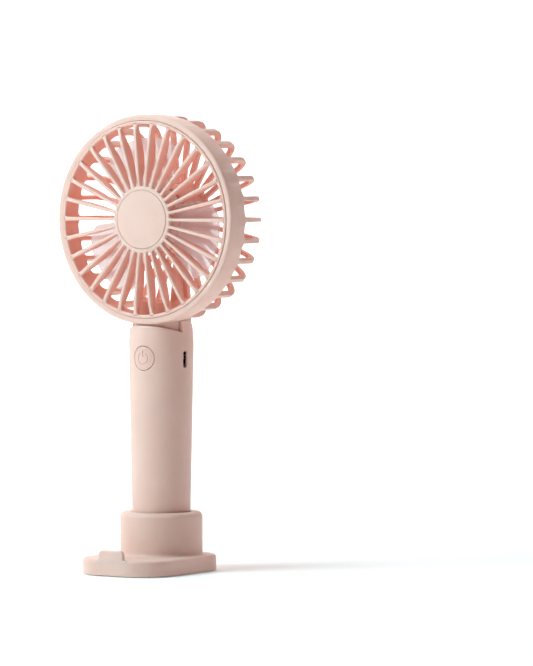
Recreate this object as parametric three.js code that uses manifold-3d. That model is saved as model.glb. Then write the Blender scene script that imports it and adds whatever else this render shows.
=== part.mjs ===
// A handheld electric fan standing in its desk stand, as an assembly of separate pieces.
// Millimetres, +Z up. The grille faces -Y. The origin is on the handle's axis, on the surface
// that the stand rests on.

import * as THREE from "three";
import { mergeVertices } from "three/addons/utils/BufferGeometryUtils.js";
import Module from "manifold-3d";

const wasm = await Module();
wasm.setup();

// ---------------------------------------------------------------- driving sizes

// Stand
const PLATE_WIDTH = 50;
const PLATE_FRONT = -44;
const PLATE_BACK = 23.6;
const PLATE_CORNER = 18;
const PLATE_TOP = 8;
const PLATE_EDGE = 1.5;
const STAND_WALL = 2;
const COLLAR_RADIUS = 20.2;
const COLLAR_HEIGHT = 21.2;
const COLLAR_EDGE = 3.4;
const COLLAR_FOOT = 1.8;
const SOCKET_FLOOR = 1.6;
const LIP_WIDTH = 14.4;
const LIP_THICKNESS = 2;
const LIP_HEIGHT = 4.7;
const LIP_CORNER = 2.8;
const COVER_THICKNESS = 1.6;
const COVER_LEDGE = 1.2;
const PAD_THICKNESS = 0.8;
const PAD_PROUD = 0.4;
const PAD_INSET = 3;

// Handle
const HANDLE_LENGTH = 111.46;
const HANDLE_BOTTOM_BORE = 12.07;
const HANDLE_TOP_BORE = 14.1;
const HANDLE_NECK_BORE = 13;
const HANDLE_WALL = 1.8;
const SHOULDER_HEIGHT = 11.46;
const NOTCH_BACK = -3.3;
const NOTCH_FRONT_DROP = 0.6;
const NOTCH_BACK_DROP = 4;
const CAP_THICKNESS = 2;
const CAP_SKIRT = 4;

// Battery, tray and circuit board
const CELL_RADIUS = 9.2;
const CELL_LENGTH = 65;
const TRAY_WALL = 1.4;
const BOARD_WIDTH = 22.4;
const BOARD_LENGTH = 25.5;
const BOARD_THICKNESS = 1;

// Power button and charging socket
const BUTTON_RADIUS = 5.8;
const BUTTON_DROP = 16.46;
const BUTTON_CAP = 1.7;
const BUTTON_FLANGE = 1.3;
const SWITCH_SIDE = 6;
const SWITCH_HEIGHT = 3.5;
const PLUNGER_RADIUS = 1.7;
const PLUNGER_HEIGHT = 1.5;
const PORT_DROP = 17.06;
const PORT_LENGTH = 8.94;
const PORT_HEIGHT = 3.2;
const PORT_DEPTH = 6.4;
const PORT_METAL = 0.3;
const PORT_MOUTH = 8.5;
const PORT_MOUTH_HEIGHT = 2.7;
const PORT_WEB = 0.7;

// Head
const HEAD_RADIUS = 51.2;
const RIM_FRONT = -15.1;
const RIM_WALL = 2.9;
const RIM_ROUND = 1.1;
const BAND_WALL = 3.7;
const BAND_BACK = -3;
const CAGE_BACK = 18.5;
const CAGE_CORNER = 9;
const RIB_COUNT = 30;
const RIB_INSET = 0.6;
const RIB_DEPTH = 3;
const RIB_THICKNESS = 2;
const SPAR_THICKNESS = 6;
const SPAR_DEPTH = 4.1;
const NECK_INNER_RADIUS = 41;
const SPIGOT_LENGTH = 8;
const SPIGOT_WALL = 1.8;
const CHANNEL_RADIUS = 1.55;
const WIRE_RADIUS = 0.55;

// Front grille
const GRILLE_RING_WIDTH = 1.65;
const GRILLE_RING_DEPTH = 3.4;
const GRILLE_PROUD = 0.5;
const GRILLE_DOME = 1.5;
const SPOKE_OUTER_WIDTH = 1.85;
const SPOKE_INNER_WIDTH = 1.3;
const SPOKE_END_DEPTH = 2.3;
const SPOKE_MIDDLE_DEPTH = 6.2;
const GRILLE_HUB_RADIUS = 16.4;
const GRILLE_HUB_DEPTH = 3.4;
const BADGE_RADIUS = 14.3;
const BADGE_THICKNESS = 1.5;
const BADGE_PROUD = 0.2;

// Motor hub and impeller
const HUB_RADIUS = 17;
const HUB_WALL = 1.4;
const SLEEVE_WALL = 1.4;
const RETAINER_THICKNESS = 1.4;
const REAR_CAP_THICKNESS = 1.6;
const MOTOR_RADIUS = 12.2;
const MOTOR_LENGTH = 15;
const MOTOR_FRONT = -1.2;
const CAN_WALL = 0.8;
const SHAFT_RADIUS = 1;
const BUSH_RADIUS = 2.5;
const MAGNET_THICKNESS = 1.6;
const ROTOR_GAP = 0.4;
const IMPELLER_RADIUS = 40;
const IMPELLER_HUB_RADIUS = 16.3;
const IMPELLER_FRONT = -13.2;
const IMPELLER_BACK = -4;
const IMPELLER_WALL = 1.3;
const BLADE_COUNT = 3;
const BLADE_SPAN = 78;
const BLADE_THICKNESS = 1.3;
const BLADE_DEPTH = 5;
const BLADE_MIDDLE = -7.2;
const BLADE_FIRST_ANGLE = 105;

// Clearances
const SEAT_GAP = 0.05;
const SLIP_GAP = 0.15;
const JOINT_GAP = 0.3;
const SOCKET_GAP = 0.45;
const RUNNING_GAP = 0.1;
const BUTTON_GAP = 0.3;

// Facets
const HEAD_FACETS = 60;
const HANDLE_FACETS = 32;
const HUB_FACETS = 30;
const SMALL_FACETS = 16;
const SCREW_FACETS = 10;
const CORNER_STEPS = 6;

// ---------------------------------------------------------------- derived places

const STAND_BOTTOM = PAD_PROUD;
const COLLAR_TOP = PLATE_TOP + COLLAR_HEIGHT;
const SOCKET_BOTTOM = PLATE_TOP + SOCKET_FLOOR;
const HANDLE_BOTTOM = SOCKET_BOTTOM + JOINT_GAP;
const HEAD_BOTTOM = HANDLE_BOTTOM + HANDLE_LENGTH;
const HEAD_CENTRE = HEAD_BOTTOM + HEAD_RADIUS;
const HANDLE_BOTTOM_RADIUS = HANDLE_BOTTOM_BORE + HANDLE_WALL;
const HANDLE_TOP_RADIUS = HANDLE_TOP_BORE + HANDLE_WALL;
const HANDLE_NECK_RADIUS = HANDLE_NECK_BORE + HANDLE_WALL;
const SHOULDER = HEAD_BOTTOM - SHOULDER_HEIGHT;
const BUTTON_Z = HEAD_BOTTOM - BUTTON_DROP;
const PORT_Z = HEAD_BOTTOM - PORT_DROP;
const BOARD_FRONT = -BOARD_THICKNESS / 2;
const BOARD_TOP = HEAD_BOTTOM - SPIGOT_LENGTH - 1.4;
const PORT_Y = BOARD_FRONT - PORT_HEIGHT / 2;
const CAP_TOP = HANDLE_BOTTOM + CAP_THICKNESS;
const TRAY_BOTTOM = CAP_TOP + CAP_SKIRT + JOINT_GAP;
const CELL_BOTTOM = TRAY_BOTTOM + TRAY_WALL + 1;
const CELL_TOP = CELL_BOTTOM + CELL_LENGTH;
const TRAY_INNER_RADIUS = CELL_RADIUS + JOINT_GAP;
const GRILLE_RADIUS = HEAD_RADIUS - RIM_WALL - SLIP_GAP;
const GRILLE_INNER_RADIUS = GRILLE_RADIUS - GRILLE_RING_WIDTH;
const GRILLE_RING_FRONT = RIM_FRONT - GRILLE_PROUD;
const GRILLE_HUB_FRONT = GRILLE_RING_FRONT - GRILLE_DOME;
const RING_SEAT = GRILLE_RING_FRONT + GRILLE_RING_DEPTH + SEAT_GAP;
const MOTOR_BACK = MOTOR_FRONT + MOTOR_LENGTH;
const SLEEVE_RADIUS = MOTOR_RADIUS + 0.25;
const HUB_INNER_RADIUS = HUB_RADIUS - HUB_WALL;
const HUB_WEB_FRONT = MOTOR_BACK + SEAT_GAP;
const HUB_WEB_BACK = HUB_WEB_FRONT + HUB_WALL;
const CHANNEL_Y = CAGE_BACK - SPAR_DEPTH / 2;

const degrees = THREE.MathUtils.degToRad;

// ---------------------------------------------------------------- materials

function plastic(color, roughness = 0.6) {
  return new THREE.MeshStandardMaterial({ color, roughness, metalness: 0 });
}

function metal(color, roughness = 0.35) {
  return new THREE.MeshStandardMaterial({ color, roughness, metalness: 1 });
}

const PINK = "#f0c9bb";
const PALE_GREY = "#d9d3d6";
const DARK_RUBBER = "#8f8683";
const WHITE_NYLON = "#e8e4dc";
const BOARD_GREEN = "#1f5a3a";
const BLACK_RESIN = "#1c1c1e";
const CELL_BLUE = "#3a6ea8";
const STEEL = "#b9bcc0";
const NICKEL = "#cfcabd";
const COPPER = "#b8693a";
const BRASS = "#c9a45a";
const FERRITE = "#3a3a3d";
const WIRE_RED = "#b3262a";
const WIRE_BLACK = "#202022";

// ---------------------------------------------------------------- solids

// A closed geometry as a solid whose faces point out.
function toSolid(geometry) {
  const bare = new THREE.BufferGeometry();
  const source = geometry.index ? geometry.toNonIndexed() : geometry;
  bare.setAttribute("position", source.getAttribute("position"));
  const merged = mergeVertices(bare, 1e-4);
  const corners = new Uint32Array(merged.index.array);
  const build = () =>
    new wasm.Manifold(
      new wasm.Mesh({
        numProp: 3,
        vertProperties: merged.attributes.position.array,
        triVerts: corners,
      }),
    );
  const solid = build();
  if (solid.volume() > 0) return solid;
  for (let i = 0; i < corners.length; i += 3) {
    [corners[i + 1], corners[i + 2]] = [corners[i + 2], corners[i + 1]];
  }
  return build();
}

function toMesh(name, solid, material) {
  const { vertProperties, triVerts, numProp } = solid.getMesh();
  const geometry = new THREE.BufferGeometry();
  const positions = new Float32Array((vertProperties.length / numProp) * 3);
  for (let i = 0; i < positions.length / 3; i += 1) {
    positions.set(vertProperties.subarray(i * numProp, i * numProp + 3), i * 3);
  }
  geometry.setAttribute("position", new THREE.BufferAttribute(positions, 3));
  geometry.setIndex(new THREE.BufferAttribute(new Uint32Array(triVerts), 1));
  geometry.computeVertexNormals();
  const mesh = new THREE.Mesh(geometry, material);
  mesh.name = name;
  return mesh;
}

function join(solids) {
  return solids.reduce((sum, solid) => sum.add(solid));
}

// A profile of [radius, height] pairs turned about the Y axis.
function turned(profile, facets = HUB_FACETS) {
  const points = profile.map(([radius, height]) => new THREE.Vector2(radius, height));
  return toSolid(new THREE.LatheGeometry(points, facets));
}

// The same, turned about the Z axis.
function upright(profile, facets = HANDLE_FACETS) {
  const points = profile.map(([radius, height]) => new THREE.Vector2(radius, height));
  return toSolid(new THREE.LatheGeometry(points, facets).rotateX(Math.PI / 2));
}

// A ring about the Y axis between two radii and two depths.
function ring(inner, outer, front, back, facets = HUB_FACETS) {
  return turned([[inner, front], [outer, front], [outer, back], [inner, back], [inner, front]], facets);
}

// A disc about the Y axis.
function disc(radius, front, back, facets = HUB_FACETS) {
  return turned([[0, front], [radius, front], [radius, back], [0, back]], facets);
}

function block(width, depth, height, x = 0, y = 0, z = 0) {
  return toSolid(new THREE.BoxGeometry(width, depth, height).translate(x, y, z));
}

function polygon(points) {
  return new THREE.Shape(points.map(([x, y]) => new THREE.Vector2(x, y)));
}

// Points along an arc, both ends included; angles in degrees.
function arc(centreX, centreY, radius, from, to, steps = CORNER_STEPS) {
  const points = [];
  for (let i = 0; i <= steps; i += 1) {
    const angle = degrees(from + ((to - from) * i) / steps);
    points.push([centreX + radius * Math.cos(angle), centreY + radius * Math.sin(angle)]);
  }
  return points;
}

// A flat outline in the radius-depth plane, given a thickness across it, at the angle of 3 o'clock.
function radialPlate(points, thickness) {
  const geometry = new THREE.ExtrudeGeometry(polygon(points), { depth: thickness, bevelEnabled: false });
  return geometry.translate(0, 0, -thickness / 2);
}

function turnedTo(geometry, angle) {
  return toSolid(geometry.clone().rotateY(-degrees(angle)));
}

// An outline in the X-Z plane, extruded along Y from front to back.
function extrudedAlongY(shape, front, back) {
  const geometry = new THREE.ExtrudeGeometry(shape, { depth: back - front, bevelEnabled: false, curveSegments: 4 });
  return toSolid(geometry.rotateX(Math.PI / 2).translate(0, back, 0));
}

// ---------------------------------------------------------------- stand

// The plate's outline, moved in by an inset.
function plateOutline(inset) {
  const side = PLATE_WIDTH / 2 - inset;
  const corner = PLATE_CORNER - inset;
  const front = PLATE_FRONT + inset;
  const back = PLATE_BACK - inset;
  return polygon([
    ...arc(side - corner, back - corner, corner, 0, 90),
    ...arc(corner - side, back - corner, corner, 90, 180),
    ...arc(corner - side, front + corner, corner, 180, 270),
    ...arc(side - corner, front + corner, corner, 270, 360),
  ]);
}

function plateSlab(inset, bottom, top) {
  const geometry = new THREE.ExtrudeGeometry(plateOutline(inset), { depth: top - bottom, bevelEnabled: false });
  return toSolid(geometry.translate(0, 0, bottom));
}

// The plate with its top edge rounded in steps.
function roundedPlate() {
  const geometry = new THREE.ExtrudeGeometry(plateOutline(PLATE_EDGE), {
    depth: PLATE_TOP - STAND_BOTTOM,
    bevelThickness: PLATE_EDGE,
    bevelSize: PLATE_EDGE,
    bevelSegments: 3,
  });
  const rounded = toSolid(geometry.translate(0, 0, STAND_BOTTOM - PLATE_EDGE));
  return rounded.subtract(plateSlab(-PLATE_EDGE, STAND_BOTTOM - 2 * PLATE_EDGE, STAND_BOTTOM));
}

function collar() {
  return upright([
    [0, PLATE_TOP - 1],
    [COLLAR_RADIUS + COLLAR_FOOT, PLATE_TOP - 1],
    [COLLAR_RADIUS + COLLAR_FOOT, PLATE_TOP],
    ...arc(COLLAR_RADIUS + COLLAR_FOOT, PLATE_TOP + COLLAR_FOOT, COLLAR_FOOT, 270, 180, 3),
    ...arc(COLLAR_RADIUS - COLLAR_EDGE, COLLAR_TOP - COLLAR_EDGE, COLLAR_EDGE, 0, 90, 4),
    [0, COLLAR_TOP],
  ]);
}

function socket() {
  return upright([
    [0, SOCKET_BOTTOM],
    [handleRadius(HANDLE_BOTTOM) + SOCKET_GAP, SOCKET_BOTTOM],
    [handleRadius(COLLAR_TOP) + SOCKET_GAP, COLLAR_TOP],
    [handleRadius(COLLAR_TOP) + SOCKET_GAP, COLLAR_TOP + 1],
    [0, COLLAR_TOP + 1],
  ]);
}

// The low tab that keeps a phone's edge on the plate.
function phoneLip() {
  const half = LIP_WIDTH / 2;
  const top = PLATE_TOP + LIP_HEIGHT;
  const foot = LIP_HEIGHT - LIP_CORNER;
  const outline = polygon([
    [-half - foot, PLATE_TOP - PLATE_EDGE],
    [half + foot, PLATE_TOP - PLATE_EDGE],
    ...arc(half + foot, PLATE_TOP + foot, foot, 270, 180, 3),
    ...arc(half - LIP_CORNER, top - LIP_CORNER, LIP_CORNER, 0, 90, 4),
    ...arc(LIP_CORNER - half, top - LIP_CORNER, LIP_CORNER, 90, 180, 4),
    ...arc(-half - foot, PLATE_TOP + foot, foot, 0, -90, 3),
  ]);
  return extrudedAlongY(outline, PLATE_FRONT, PLATE_FRONT + LIP_THICKNESS);
}

const COVER_TOP = STAND_BOTTOM + COVER_THICKNESS;
const BOSS_RADIUS = 2.6;
const BASE_SCREW_RADIUS = 1;
const BASE_SCREW_HEAD = 1.9;
const BASE_SCREW_LENGTH = 4.4;
const BOSS_INSET = 9;

// The four corners where the stand's cover is screwed on.
function bossPlaces() {
  const side = PLATE_WIDTH / 2 - BOSS_INSET;
  const front = PLATE_FRONT + BOSS_INSET;
  const back = PLATE_BACK - BOSS_INSET;
  return [[side, front], [-side, front], [-side, back], [side, back]];
}

function baseStand() {
  const cavityTop = PLATE_TOP - STAND_WALL;
  const rebate = plateSlab(COVER_LEDGE, STAND_BOTTOM - 1, COVER_TOP + SEAT_GAP);
  let solid = join([roundedPlate(), collar(), phoneLip()]).subtract(socket()).subtract(rebate);
  let cavity = plateSlab(COVER_LEDGE + STAND_WALL, COVER_TOP - 1, cavityTop);
  for (const [x, y] of bossPlaces()) {
    const boss = upright([[0, 0], [BOSS_RADIUS, 0], [BOSS_RADIUS, PLATE_TOP], [0, PLATE_TOP]], SCREW_FACETS);
    cavity = cavity.subtract(boss.translate([x, y, COVER_TOP + SEAT_GAP]));
  }
  solid = solid.subtract(cavity);
  for (const [x, y] of bossPlaces()) {
    const reach = BASE_SCREW_LENGTH + JOINT_GAP;
    const bore = BASE_SCREW_RADIUS + SLIP_GAP;
    const hole = upright([[0, 0], [bore, 0], [bore, reach], [0, reach]], SCREW_FACETS);
    solid = solid.subtract(hole.translate([x, y, PAD_THICKNESS]));
  }
  return solid;
}

// A countersunk screw standing on its head, the head's face at height 0.
function baseScrewProfile(gap) {
  const taper = BASE_SCREW_HEAD - BASE_SCREW_RADIUS;
  return [
    [0, 0],
    [BASE_SCREW_HEAD + gap, 0],
    [BASE_SCREW_RADIUS + gap, taper],
    [BASE_SCREW_RADIUS + gap, BASE_SCREW_LENGTH],
    [0, BASE_SCREW_LENGTH],
  ];
}

function baseCover() {
  let solid = plateSlab(COVER_LEDGE + SLIP_GAP, STAND_BOTTOM, COVER_TOP);
  solid = solid.subtract(plateSlab(PAD_INSET - SLIP_GAP, STAND_BOTTOM - 1, PAD_THICKNESS + SEAT_GAP));
  for (const [x, y] of bossPlaces()) {
    const screw = upright(baseScrewProfile(SLIP_GAP), SCREW_FACETS);
    solid = solid.subtract(screw.translate([x, y, PAD_THICKNESS + SEAT_GAP]));
  }
  return solid;
}

function addStand(parts) {
  parts.add(toMesh("base_stand", baseStand(), plastic(PINK)));
  parts.add(toMesh("base_cover", baseCover(), plastic(PINK)));
  parts.add(toMesh("anti_slip_pad", plateSlab(PAD_INSET, 0, PAD_THICKNESS), plastic(DARK_RUBBER, 0.9)));
  bossPlaces().forEach(([x, y], index) => {
    const screw = upright(baseScrewProfile(0), SCREW_FACETS).translate([x, y, PAD_THICKNESS + SEAT_GAP]);
    parts.add(toMesh(`base_screw_${index + 1}`, screw, metal(STEEL)));
  });
}

// ---------------------------------------------------------------- handle

// The handle widens to its shoulder, then rounds in to the neck.
function handleRadius(z) {
  if (z <= SHOULDER) {
    const share = (z - HANDLE_BOTTOM) / (SHOULDER - HANDLE_BOTTOM);
    return THREE.MathUtils.lerp(HANDLE_BOTTOM_RADIUS, HANDLE_TOP_RADIUS, share);
  }
  const rise = Math.min((z - SHOULDER) / SHOULDER_HEIGHT, 1);
  return HANDLE_NECK_RADIUS + (HANDLE_TOP_RADIUS - HANDLE_NECK_RADIUS) * Math.sqrt(1 - rise * rise);
}

// Profile points up the handle's outside, moved in by an inset.
function handleSide(inset, bottom) {
  const steps = [0, 0.3, 0.55, 0.75, 0.88, 0.96, 1];
  const shoulder = steps.map((share) => SHOULDER + share * SHOULDER_HEIGHT);
  return [bottom, ...shoulder].map((z) => [handleRadius(z) - inset, z]);
}

function handleBody(inset, bottom, top) {
  const side = handleSide(inset, bottom);
  return upright([[0, bottom], ...side, [side.at(-1)[0], top], [0, top]]);
}

// The head's outer shape as one solid, from the rim to the back of the cage.
function headEnvelope(offset) {
  const radius = HEAD_RADIUS + offset;
  const back = CAGE_BACK + offset;
  const corner = CAGE_CORNER + offset;
  return turned(
    [
      [0, RIM_FRONT - offset],
      [radius, RIM_FRONT - offset],
      ...arc(radius - corner, back - corner, corner, 0, 90, 4),
      [0, back],
    ],
    HEAD_FACETS,
  );
}

// The wedge that opens below the head's band, in front of the neck: its floor falls to the back.
function neckNotch() {
  const front = -HANDLE_TOP_RADIUS - 1;
  const slope = (NOTCH_BACK_DROP - NOTCH_FRONT_DROP) / (NOTCH_BACK + HANDLE_NECK_RADIUS);
  const drop = (y) => NOTCH_FRONT_DROP + (y + HANDLE_NECK_RADIUS) * slope;
  const top = HEAD_BOTTOM + SHOULDER_HEIGHT;
  const outline = polygon([
    [front, HEAD_BOTTOM - drop(front)],
    [NOTCH_BACK, HEAD_BOTTOM - NOTCH_BACK_DROP],
    [NOTCH_BACK, top],
    [front, top],
  ]);
  const width = 2 * HANDLE_TOP_RADIUS + 2;
  const geometry = new THREE.ExtrudeGeometry(outline, { depth: width, bevelEnabled: false });
  return toSolid(geometry.translate(0, 0, -width / 2).rotateX(Math.PI / 2).rotateZ(Math.PI / 2));
}

// A slot with round ends, standing along Z and cut along X.
function portSlot(length, height, from, to) {
  const radius = height / 2;
  const straight = length / 2 - radius;
  const outline = polygon([...arc(0, straight, radius, 0, 180, 6), ...arc(0, -straight, radius, 180, 360, 6)]);
  const geometry = new THREE.ExtrudeGeometry(outline, { depth: to - from, bevelEnabled: false });
  geometry.rotateX(Math.PI / 2).rotateZ(Math.PI / 2);
  return toSolid(geometry.translate(from, PORT_Y, PORT_Z));
}

// A cylinder along Y in front of the handle, centred on the button.
function buttonBore(radius, front, back) {
  return disc(radius, front, back, 24).translate([0, 0, BUTTON_Z]);
}

function handleSleeve() {
  const surface = handleRadius(BUTTON_Z);
  const outer = handleBody(0, HANDLE_BOTTOM, HEAD_BOTTOM + SHOULDER_HEIGHT / 2);
  const inner = handleBody(HANDLE_WALL, HANDLE_BOTTOM - 1, HEAD_BOTTOM + SHOULDER_HEIGHT);
  const portFace = handleRadius(PORT_Z);
  return outer
    .subtract(inner)
    .subtract(headEnvelope(JOINT_GAP).translate([0, 0, HEAD_CENTRE]))
    .subtract(neckNotch())
    .subtract(buttonBore(BUTTON_RADIUS + BUTTON_GAP, -surface - 5, 0))
    .subtract(portSlot(PORT_MOUTH, PORT_MOUTH_HEIGHT, 0, portFace + 5))
    .subtract(portSlot(PORT_LENGTH + JOINT_GAP, PORT_HEIGHT + JOINT_GAP, 0, portFace - PORT_WEB));
}

// The plug in the handle's end; the tray stands on its skirt.
function bottomCap() {
  const outer = HANDLE_BOTTOM_BORE - SLIP_GAP;
  return upright([
    [0, HANDLE_BOTTOM],
    [outer, HANDLE_BOTTOM],
    [outer, CAP_TOP + CAP_SKIRT],
    [TRAY_INNER_RADIUS, CAP_TOP + CAP_SKIRT],
    [TRAY_INNER_RADIUS, CAP_TOP],
    [0, CAP_TOP],
  ]);
}

// A half-round cradle behind the cell that runs up behind the circuit board.
function batteryTray() {
  const inner = TRAY_INNER_RADIUS;
  const outer = inner + TRAY_WALL;
  const top = BOARD_TOP - 2;
  const floor = CELL_BOTTOM - JOINT_GAP;
  const ceiling = CELL_TOP + 1;
  const tube = upright([[0, TRAY_BOTTOM], [outer, TRAY_BOTTOM], [outer, top], [0, top]], 32);
  const cellSpace = upright([[0, floor], [inner, floor], [inner, ceiling], [0, ceiling]], 32);
  const boardSpace = upright(
    [[0, ceiling + TRAY_WALL], [inner, ceiling + TRAY_WALL], [inner, top + 1], [0, top + 1]],
    32,
  );
  const frontHalf = block(40, 40, 200, 0, -20, (TRAY_BOTTOM + top) / 2);
  const boardEdge = block(40, 2, BOARD_LENGTH + 4, 0, 0, BOARD_TOP - BOARD_LENGTH / 2);
  return tube.subtract(cellSpace).subtract(boardSpace).subtract(frontHalf).subtract(boardEdge);
}

function batteryCell() {
  const button = 3;
  const crimp = 0.8;
  return upright(
    [
      [0, CELL_BOTTOM],
      [CELL_RADIUS - 0.4, CELL_BOTTOM],
      [CELL_RADIUS, CELL_BOTTOM + 0.4],
      [CELL_RADIUS, CELL_TOP - crimp - 0.6],
      [CELL_RADIUS - 0.6, CELL_TOP - crimp],
      [button, CELL_TOP - crimp],
      [button, CELL_TOP],
      [0, CELL_TOP],
    ],
    32,
  );
}

const STRIP_WIDTH = 4;
const STRIP_THICKNESS = 0.3;

// A nickel strip from the cell's top button to the board's lower edge.
function positiveStrip() {
  const z = CELL_TOP + STRIP_THICKNESS / 2 + SEAT_GAP;
  const y = -CELL_RADIUS / 2;
  const boardBottom = BOARD_TOP - BOARD_LENGTH;
  const upTo = boardBottom + 3;
  const rise = upTo - CELL_TOP;
  const flat = block(STRIP_WIDTH, -y + 2, STRIP_THICKNESS, 0, y / 2 + 0.5, z);
  const stem = block(STRIP_WIDTH, STRIP_THICKNESS, rise, 0, y - 0.35, CELL_TOP + SEAT_GAP + rise / 2);
  const tab = block(STRIP_WIDTH, BOARD_FRONT - y, STRIP_THICKNESS, 0, (y + BOARD_FRONT) / 2 - 0.3, upTo);
  return join([flat, stem, tab]);
}

// A nickel strip from the cell's base up its front to the board's lower edge.
function negativeStrip() {
  const x = 5;
  const y = -CELL_RADIUS - 0.3;
  const bottom = CELL_BOTTOM - STRIP_THICKNESS - SEAT_GAP;
  const upTo = BOARD_TOP - BOARD_LENGTH + 1.5;
  const foot = block(STRIP_WIDTH, CELL_RADIUS, STRIP_THICKNESS, x, y / 2 - 0.15, bottom + STRIP_THICKNESS / 2);
  const side = block(STRIP_WIDTH, STRIP_THICKNESS, upTo - bottom, x, y - 0.1, (upTo + bottom) / 2);
  const reach = BOARD_FRONT - y;
  const tab = block(STRIP_WIDTH, reach, STRIP_THICKNESS, x, (y + BOARD_FRONT) / 2 - 0.25, upTo);
  return join([foot, side, tab]);
}

function circuitBoard() {
  const half = BOARD_WIDTH / 2;
  const bottom = BOARD_TOP - BOARD_LENGTH;
  const tab = handleRadius(PORT_Z) - HANDLE_WALL - 0.8;
  const tabHalf = PORT_LENGTH / 2 + 1;
  const outline = polygon([
    [-half, bottom],
    [half, bottom],
    [half, PORT_Z - tabHalf],
    [tab, PORT_Z - tabHalf],
    [tab, PORT_Z + tabHalf],
    [half, PORT_Z + tabHalf],
    [half, BOARD_TOP],
    [-half, BOARD_TOP],
  ]);
  return extrudedAlongY(outline, BOARD_FRONT, BOARD_FRONT + BOARD_THICKNESS);
}

const PORT_FACE = handleRadius(PORT_Z) - PORT_WEB - SLIP_GAP;
const PORT_LIFT = 0.1;

function portShell() {
  const back = PORT_FACE - PORT_DEPTH;
  const outer = portSlot(PORT_LENGTH, PORT_HEIGHT, back, PORT_FACE);
  const inner = portSlot(
    PORT_LENGTH - 2 * PORT_METAL,
    PORT_HEIGHT - 2 * PORT_METAL,
    back + PORT_METAL,
    PORT_FACE + 1,
  );
  return outer.subtract(inner).translate([0, -PORT_LIFT, 0]);
}

function portTongue() {
  const back = PORT_FACE - PORT_DEPTH + PORT_METAL + SEAT_GAP;
  const front = PORT_FACE - 0.6;
  return block(front - back, 0.7, 6.7, (back + front) / 2, PORT_Y - PORT_LIFT, PORT_Z);
}

const SWITCH_FRONT = BOARD_FRONT - SEAT_GAP - SWITCH_HEIGHT;

function tactSwitch() {
  const body = block(
    SWITCH_SIDE,
    SWITCH_HEIGHT,
    SWITCH_SIDE,
    0,
    SWITCH_FRONT + SWITCH_HEIGHT / 2,
    BUTTON_Z,
  );
  return body.subtract(buttonBore(PLUNGER_RADIUS + SLIP_GAP, SWITCH_FRONT - 1, SWITCH_FRONT + 1.6));
}

function switchPlunger() {
  return buttonBore(PLUNGER_RADIUS, SWITCH_FRONT - PLUNGER_HEIGHT, SWITCH_FRONT + 0.9);
}

// The button's cap follows the handle's outside; a flange keeps it in, and a stem reaches the switch.
function powerButton() {
  const surface = handleRadius(BUTTON_Z);
  const wallInside = surface - HANDLE_WALL;
  const flangeRadius = BUTTON_RADIUS + BUTTON_FLANGE;
  const sideways = Math.sqrt(wallInside ** 2 - flangeRadius ** 2);
  const stemEnd = SWITCH_FRONT - PLUNGER_HEIGHT - SEAT_GAP;
  const flangeFront = -sideways + JOINT_GAP;
  const cap = buttonBore(BUTTON_RADIUS, -surface - 1, flangeFront + 0.5);
  const outside = handleBody(-0.1, HANDLE_BOTTOM, HEAD_BOTTOM);
  const flange = buttonBore(flangeRadius, flangeFront, flangeFront + BUTTON_CAP);
  const stem = buttonBore(2.2, flangeFront + 0.5, stemEnd);
  return join([cap.intersect(outside), flange, stem]);
}

function addHandle(parts) {
  parts.add(toMesh("handle_sleeve", handleSleeve(), plastic(PINK)));
  parts.add(toMesh("handle_bottom_cap", bottomCap(), plastic(PINK)));
  parts.add(toMesh("power_button", powerButton(), plastic(PINK)));
  parts.add(toMesh("battery_tray", batteryTray(), plastic(WHITE_NYLON)));
  parts.add(toMesh("battery_cell", batteryCell(), plastic(CELL_BLUE, 0.4)));
  parts.add(toMesh("battery_positive_strip", positiveStrip(), metal(NICKEL)));
  parts.add(toMesh("battery_negative_strip", negativeStrip(), metal(NICKEL)));
  parts.add(toMesh("circuit_board", circuitBoard(), plastic(BOARD_GREEN, 0.4)));
  parts.add(toMesh("usb_c_shell", portShell(), metal(STEEL)));
  parts.add(toMesh("usb_c_tongue", portTongue(), plastic(BLACK_RESIN)));
  parts.add(toMesh("tact_switch", tactSwitch(), plastic(BLACK_RESIN)));
  parts.add(toMesh("switch_plunger", switchPlunger(), plastic(BLACK_RESIN)));
  const chipY = BOARD_FRONT + BOARD_THICKNESS + SEAT_GAP + 0.6;
  const chip = block(5, 1.2, 5, -4.5, chipY, BOARD_TOP - 12);
  parts.add(toMesh("charge_controller", chip, plastic(BLACK_RESIN, 0.5)));
  const coilY = BOARD_FRONT + BOARD_THICKNESS + SEAT_GAP + 1.4;
  const inductor = block(4.6, 2.8, 4.6, 3.6, coilY, BOARD_TOP - 18);
  parts.add(toMesh("boost_inductor", inductor, plastic(FERRITE, 0.7)));
}

// ---------------------------------------------------------------- head housing

function band() {
  const seatRadius = HEAD_RADIUS - RIM_WALL;
  const innerRadius = HEAD_RADIUS - BAND_WALL;
  return turned(
    [
      [seatRadius, RIM_FRONT],
      ...arc(HEAD_RADIUS - RIM_ROUND, RIM_FRONT + RIM_ROUND, RIM_ROUND, -90, 0, 2),
      [HEAD_RADIUS, BAND_BACK],
      [innerRadius, BAND_BACK],
      [innerRadius, RING_SEAT],
      [seatRadius, RING_SEAT],
      [seatRadius, RIM_FRONT],
    ],
    HEAD_FACETS,
  );
}

// A rib runs straight back from the band, turns the cage's corner and runs in to the motor hub.
function ribOutline(depth) {
  const outer = HEAD_RADIUS - RIB_INSET;
  const corner = CAGE_CORNER;
  const innerCorner = CAGE_CORNER - depth;
  const centreR = outer - corner;
  const centreY = CAGE_BACK - corner;
  const hub = HUB_RADIUS - HUB_WALL / 2;
  return [
    [outer, BAND_BACK - 2],
    ...arc(centreR, centreY, corner, 0, 90, 3),
    [hub, CAGE_BACK],
    [hub, CAGE_BACK - depth],
    ...arc(centreR, centreY, innerCorner, 90, 0, 2),
    [outer - depth, BAND_BACK - 2],
  ];
}

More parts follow.
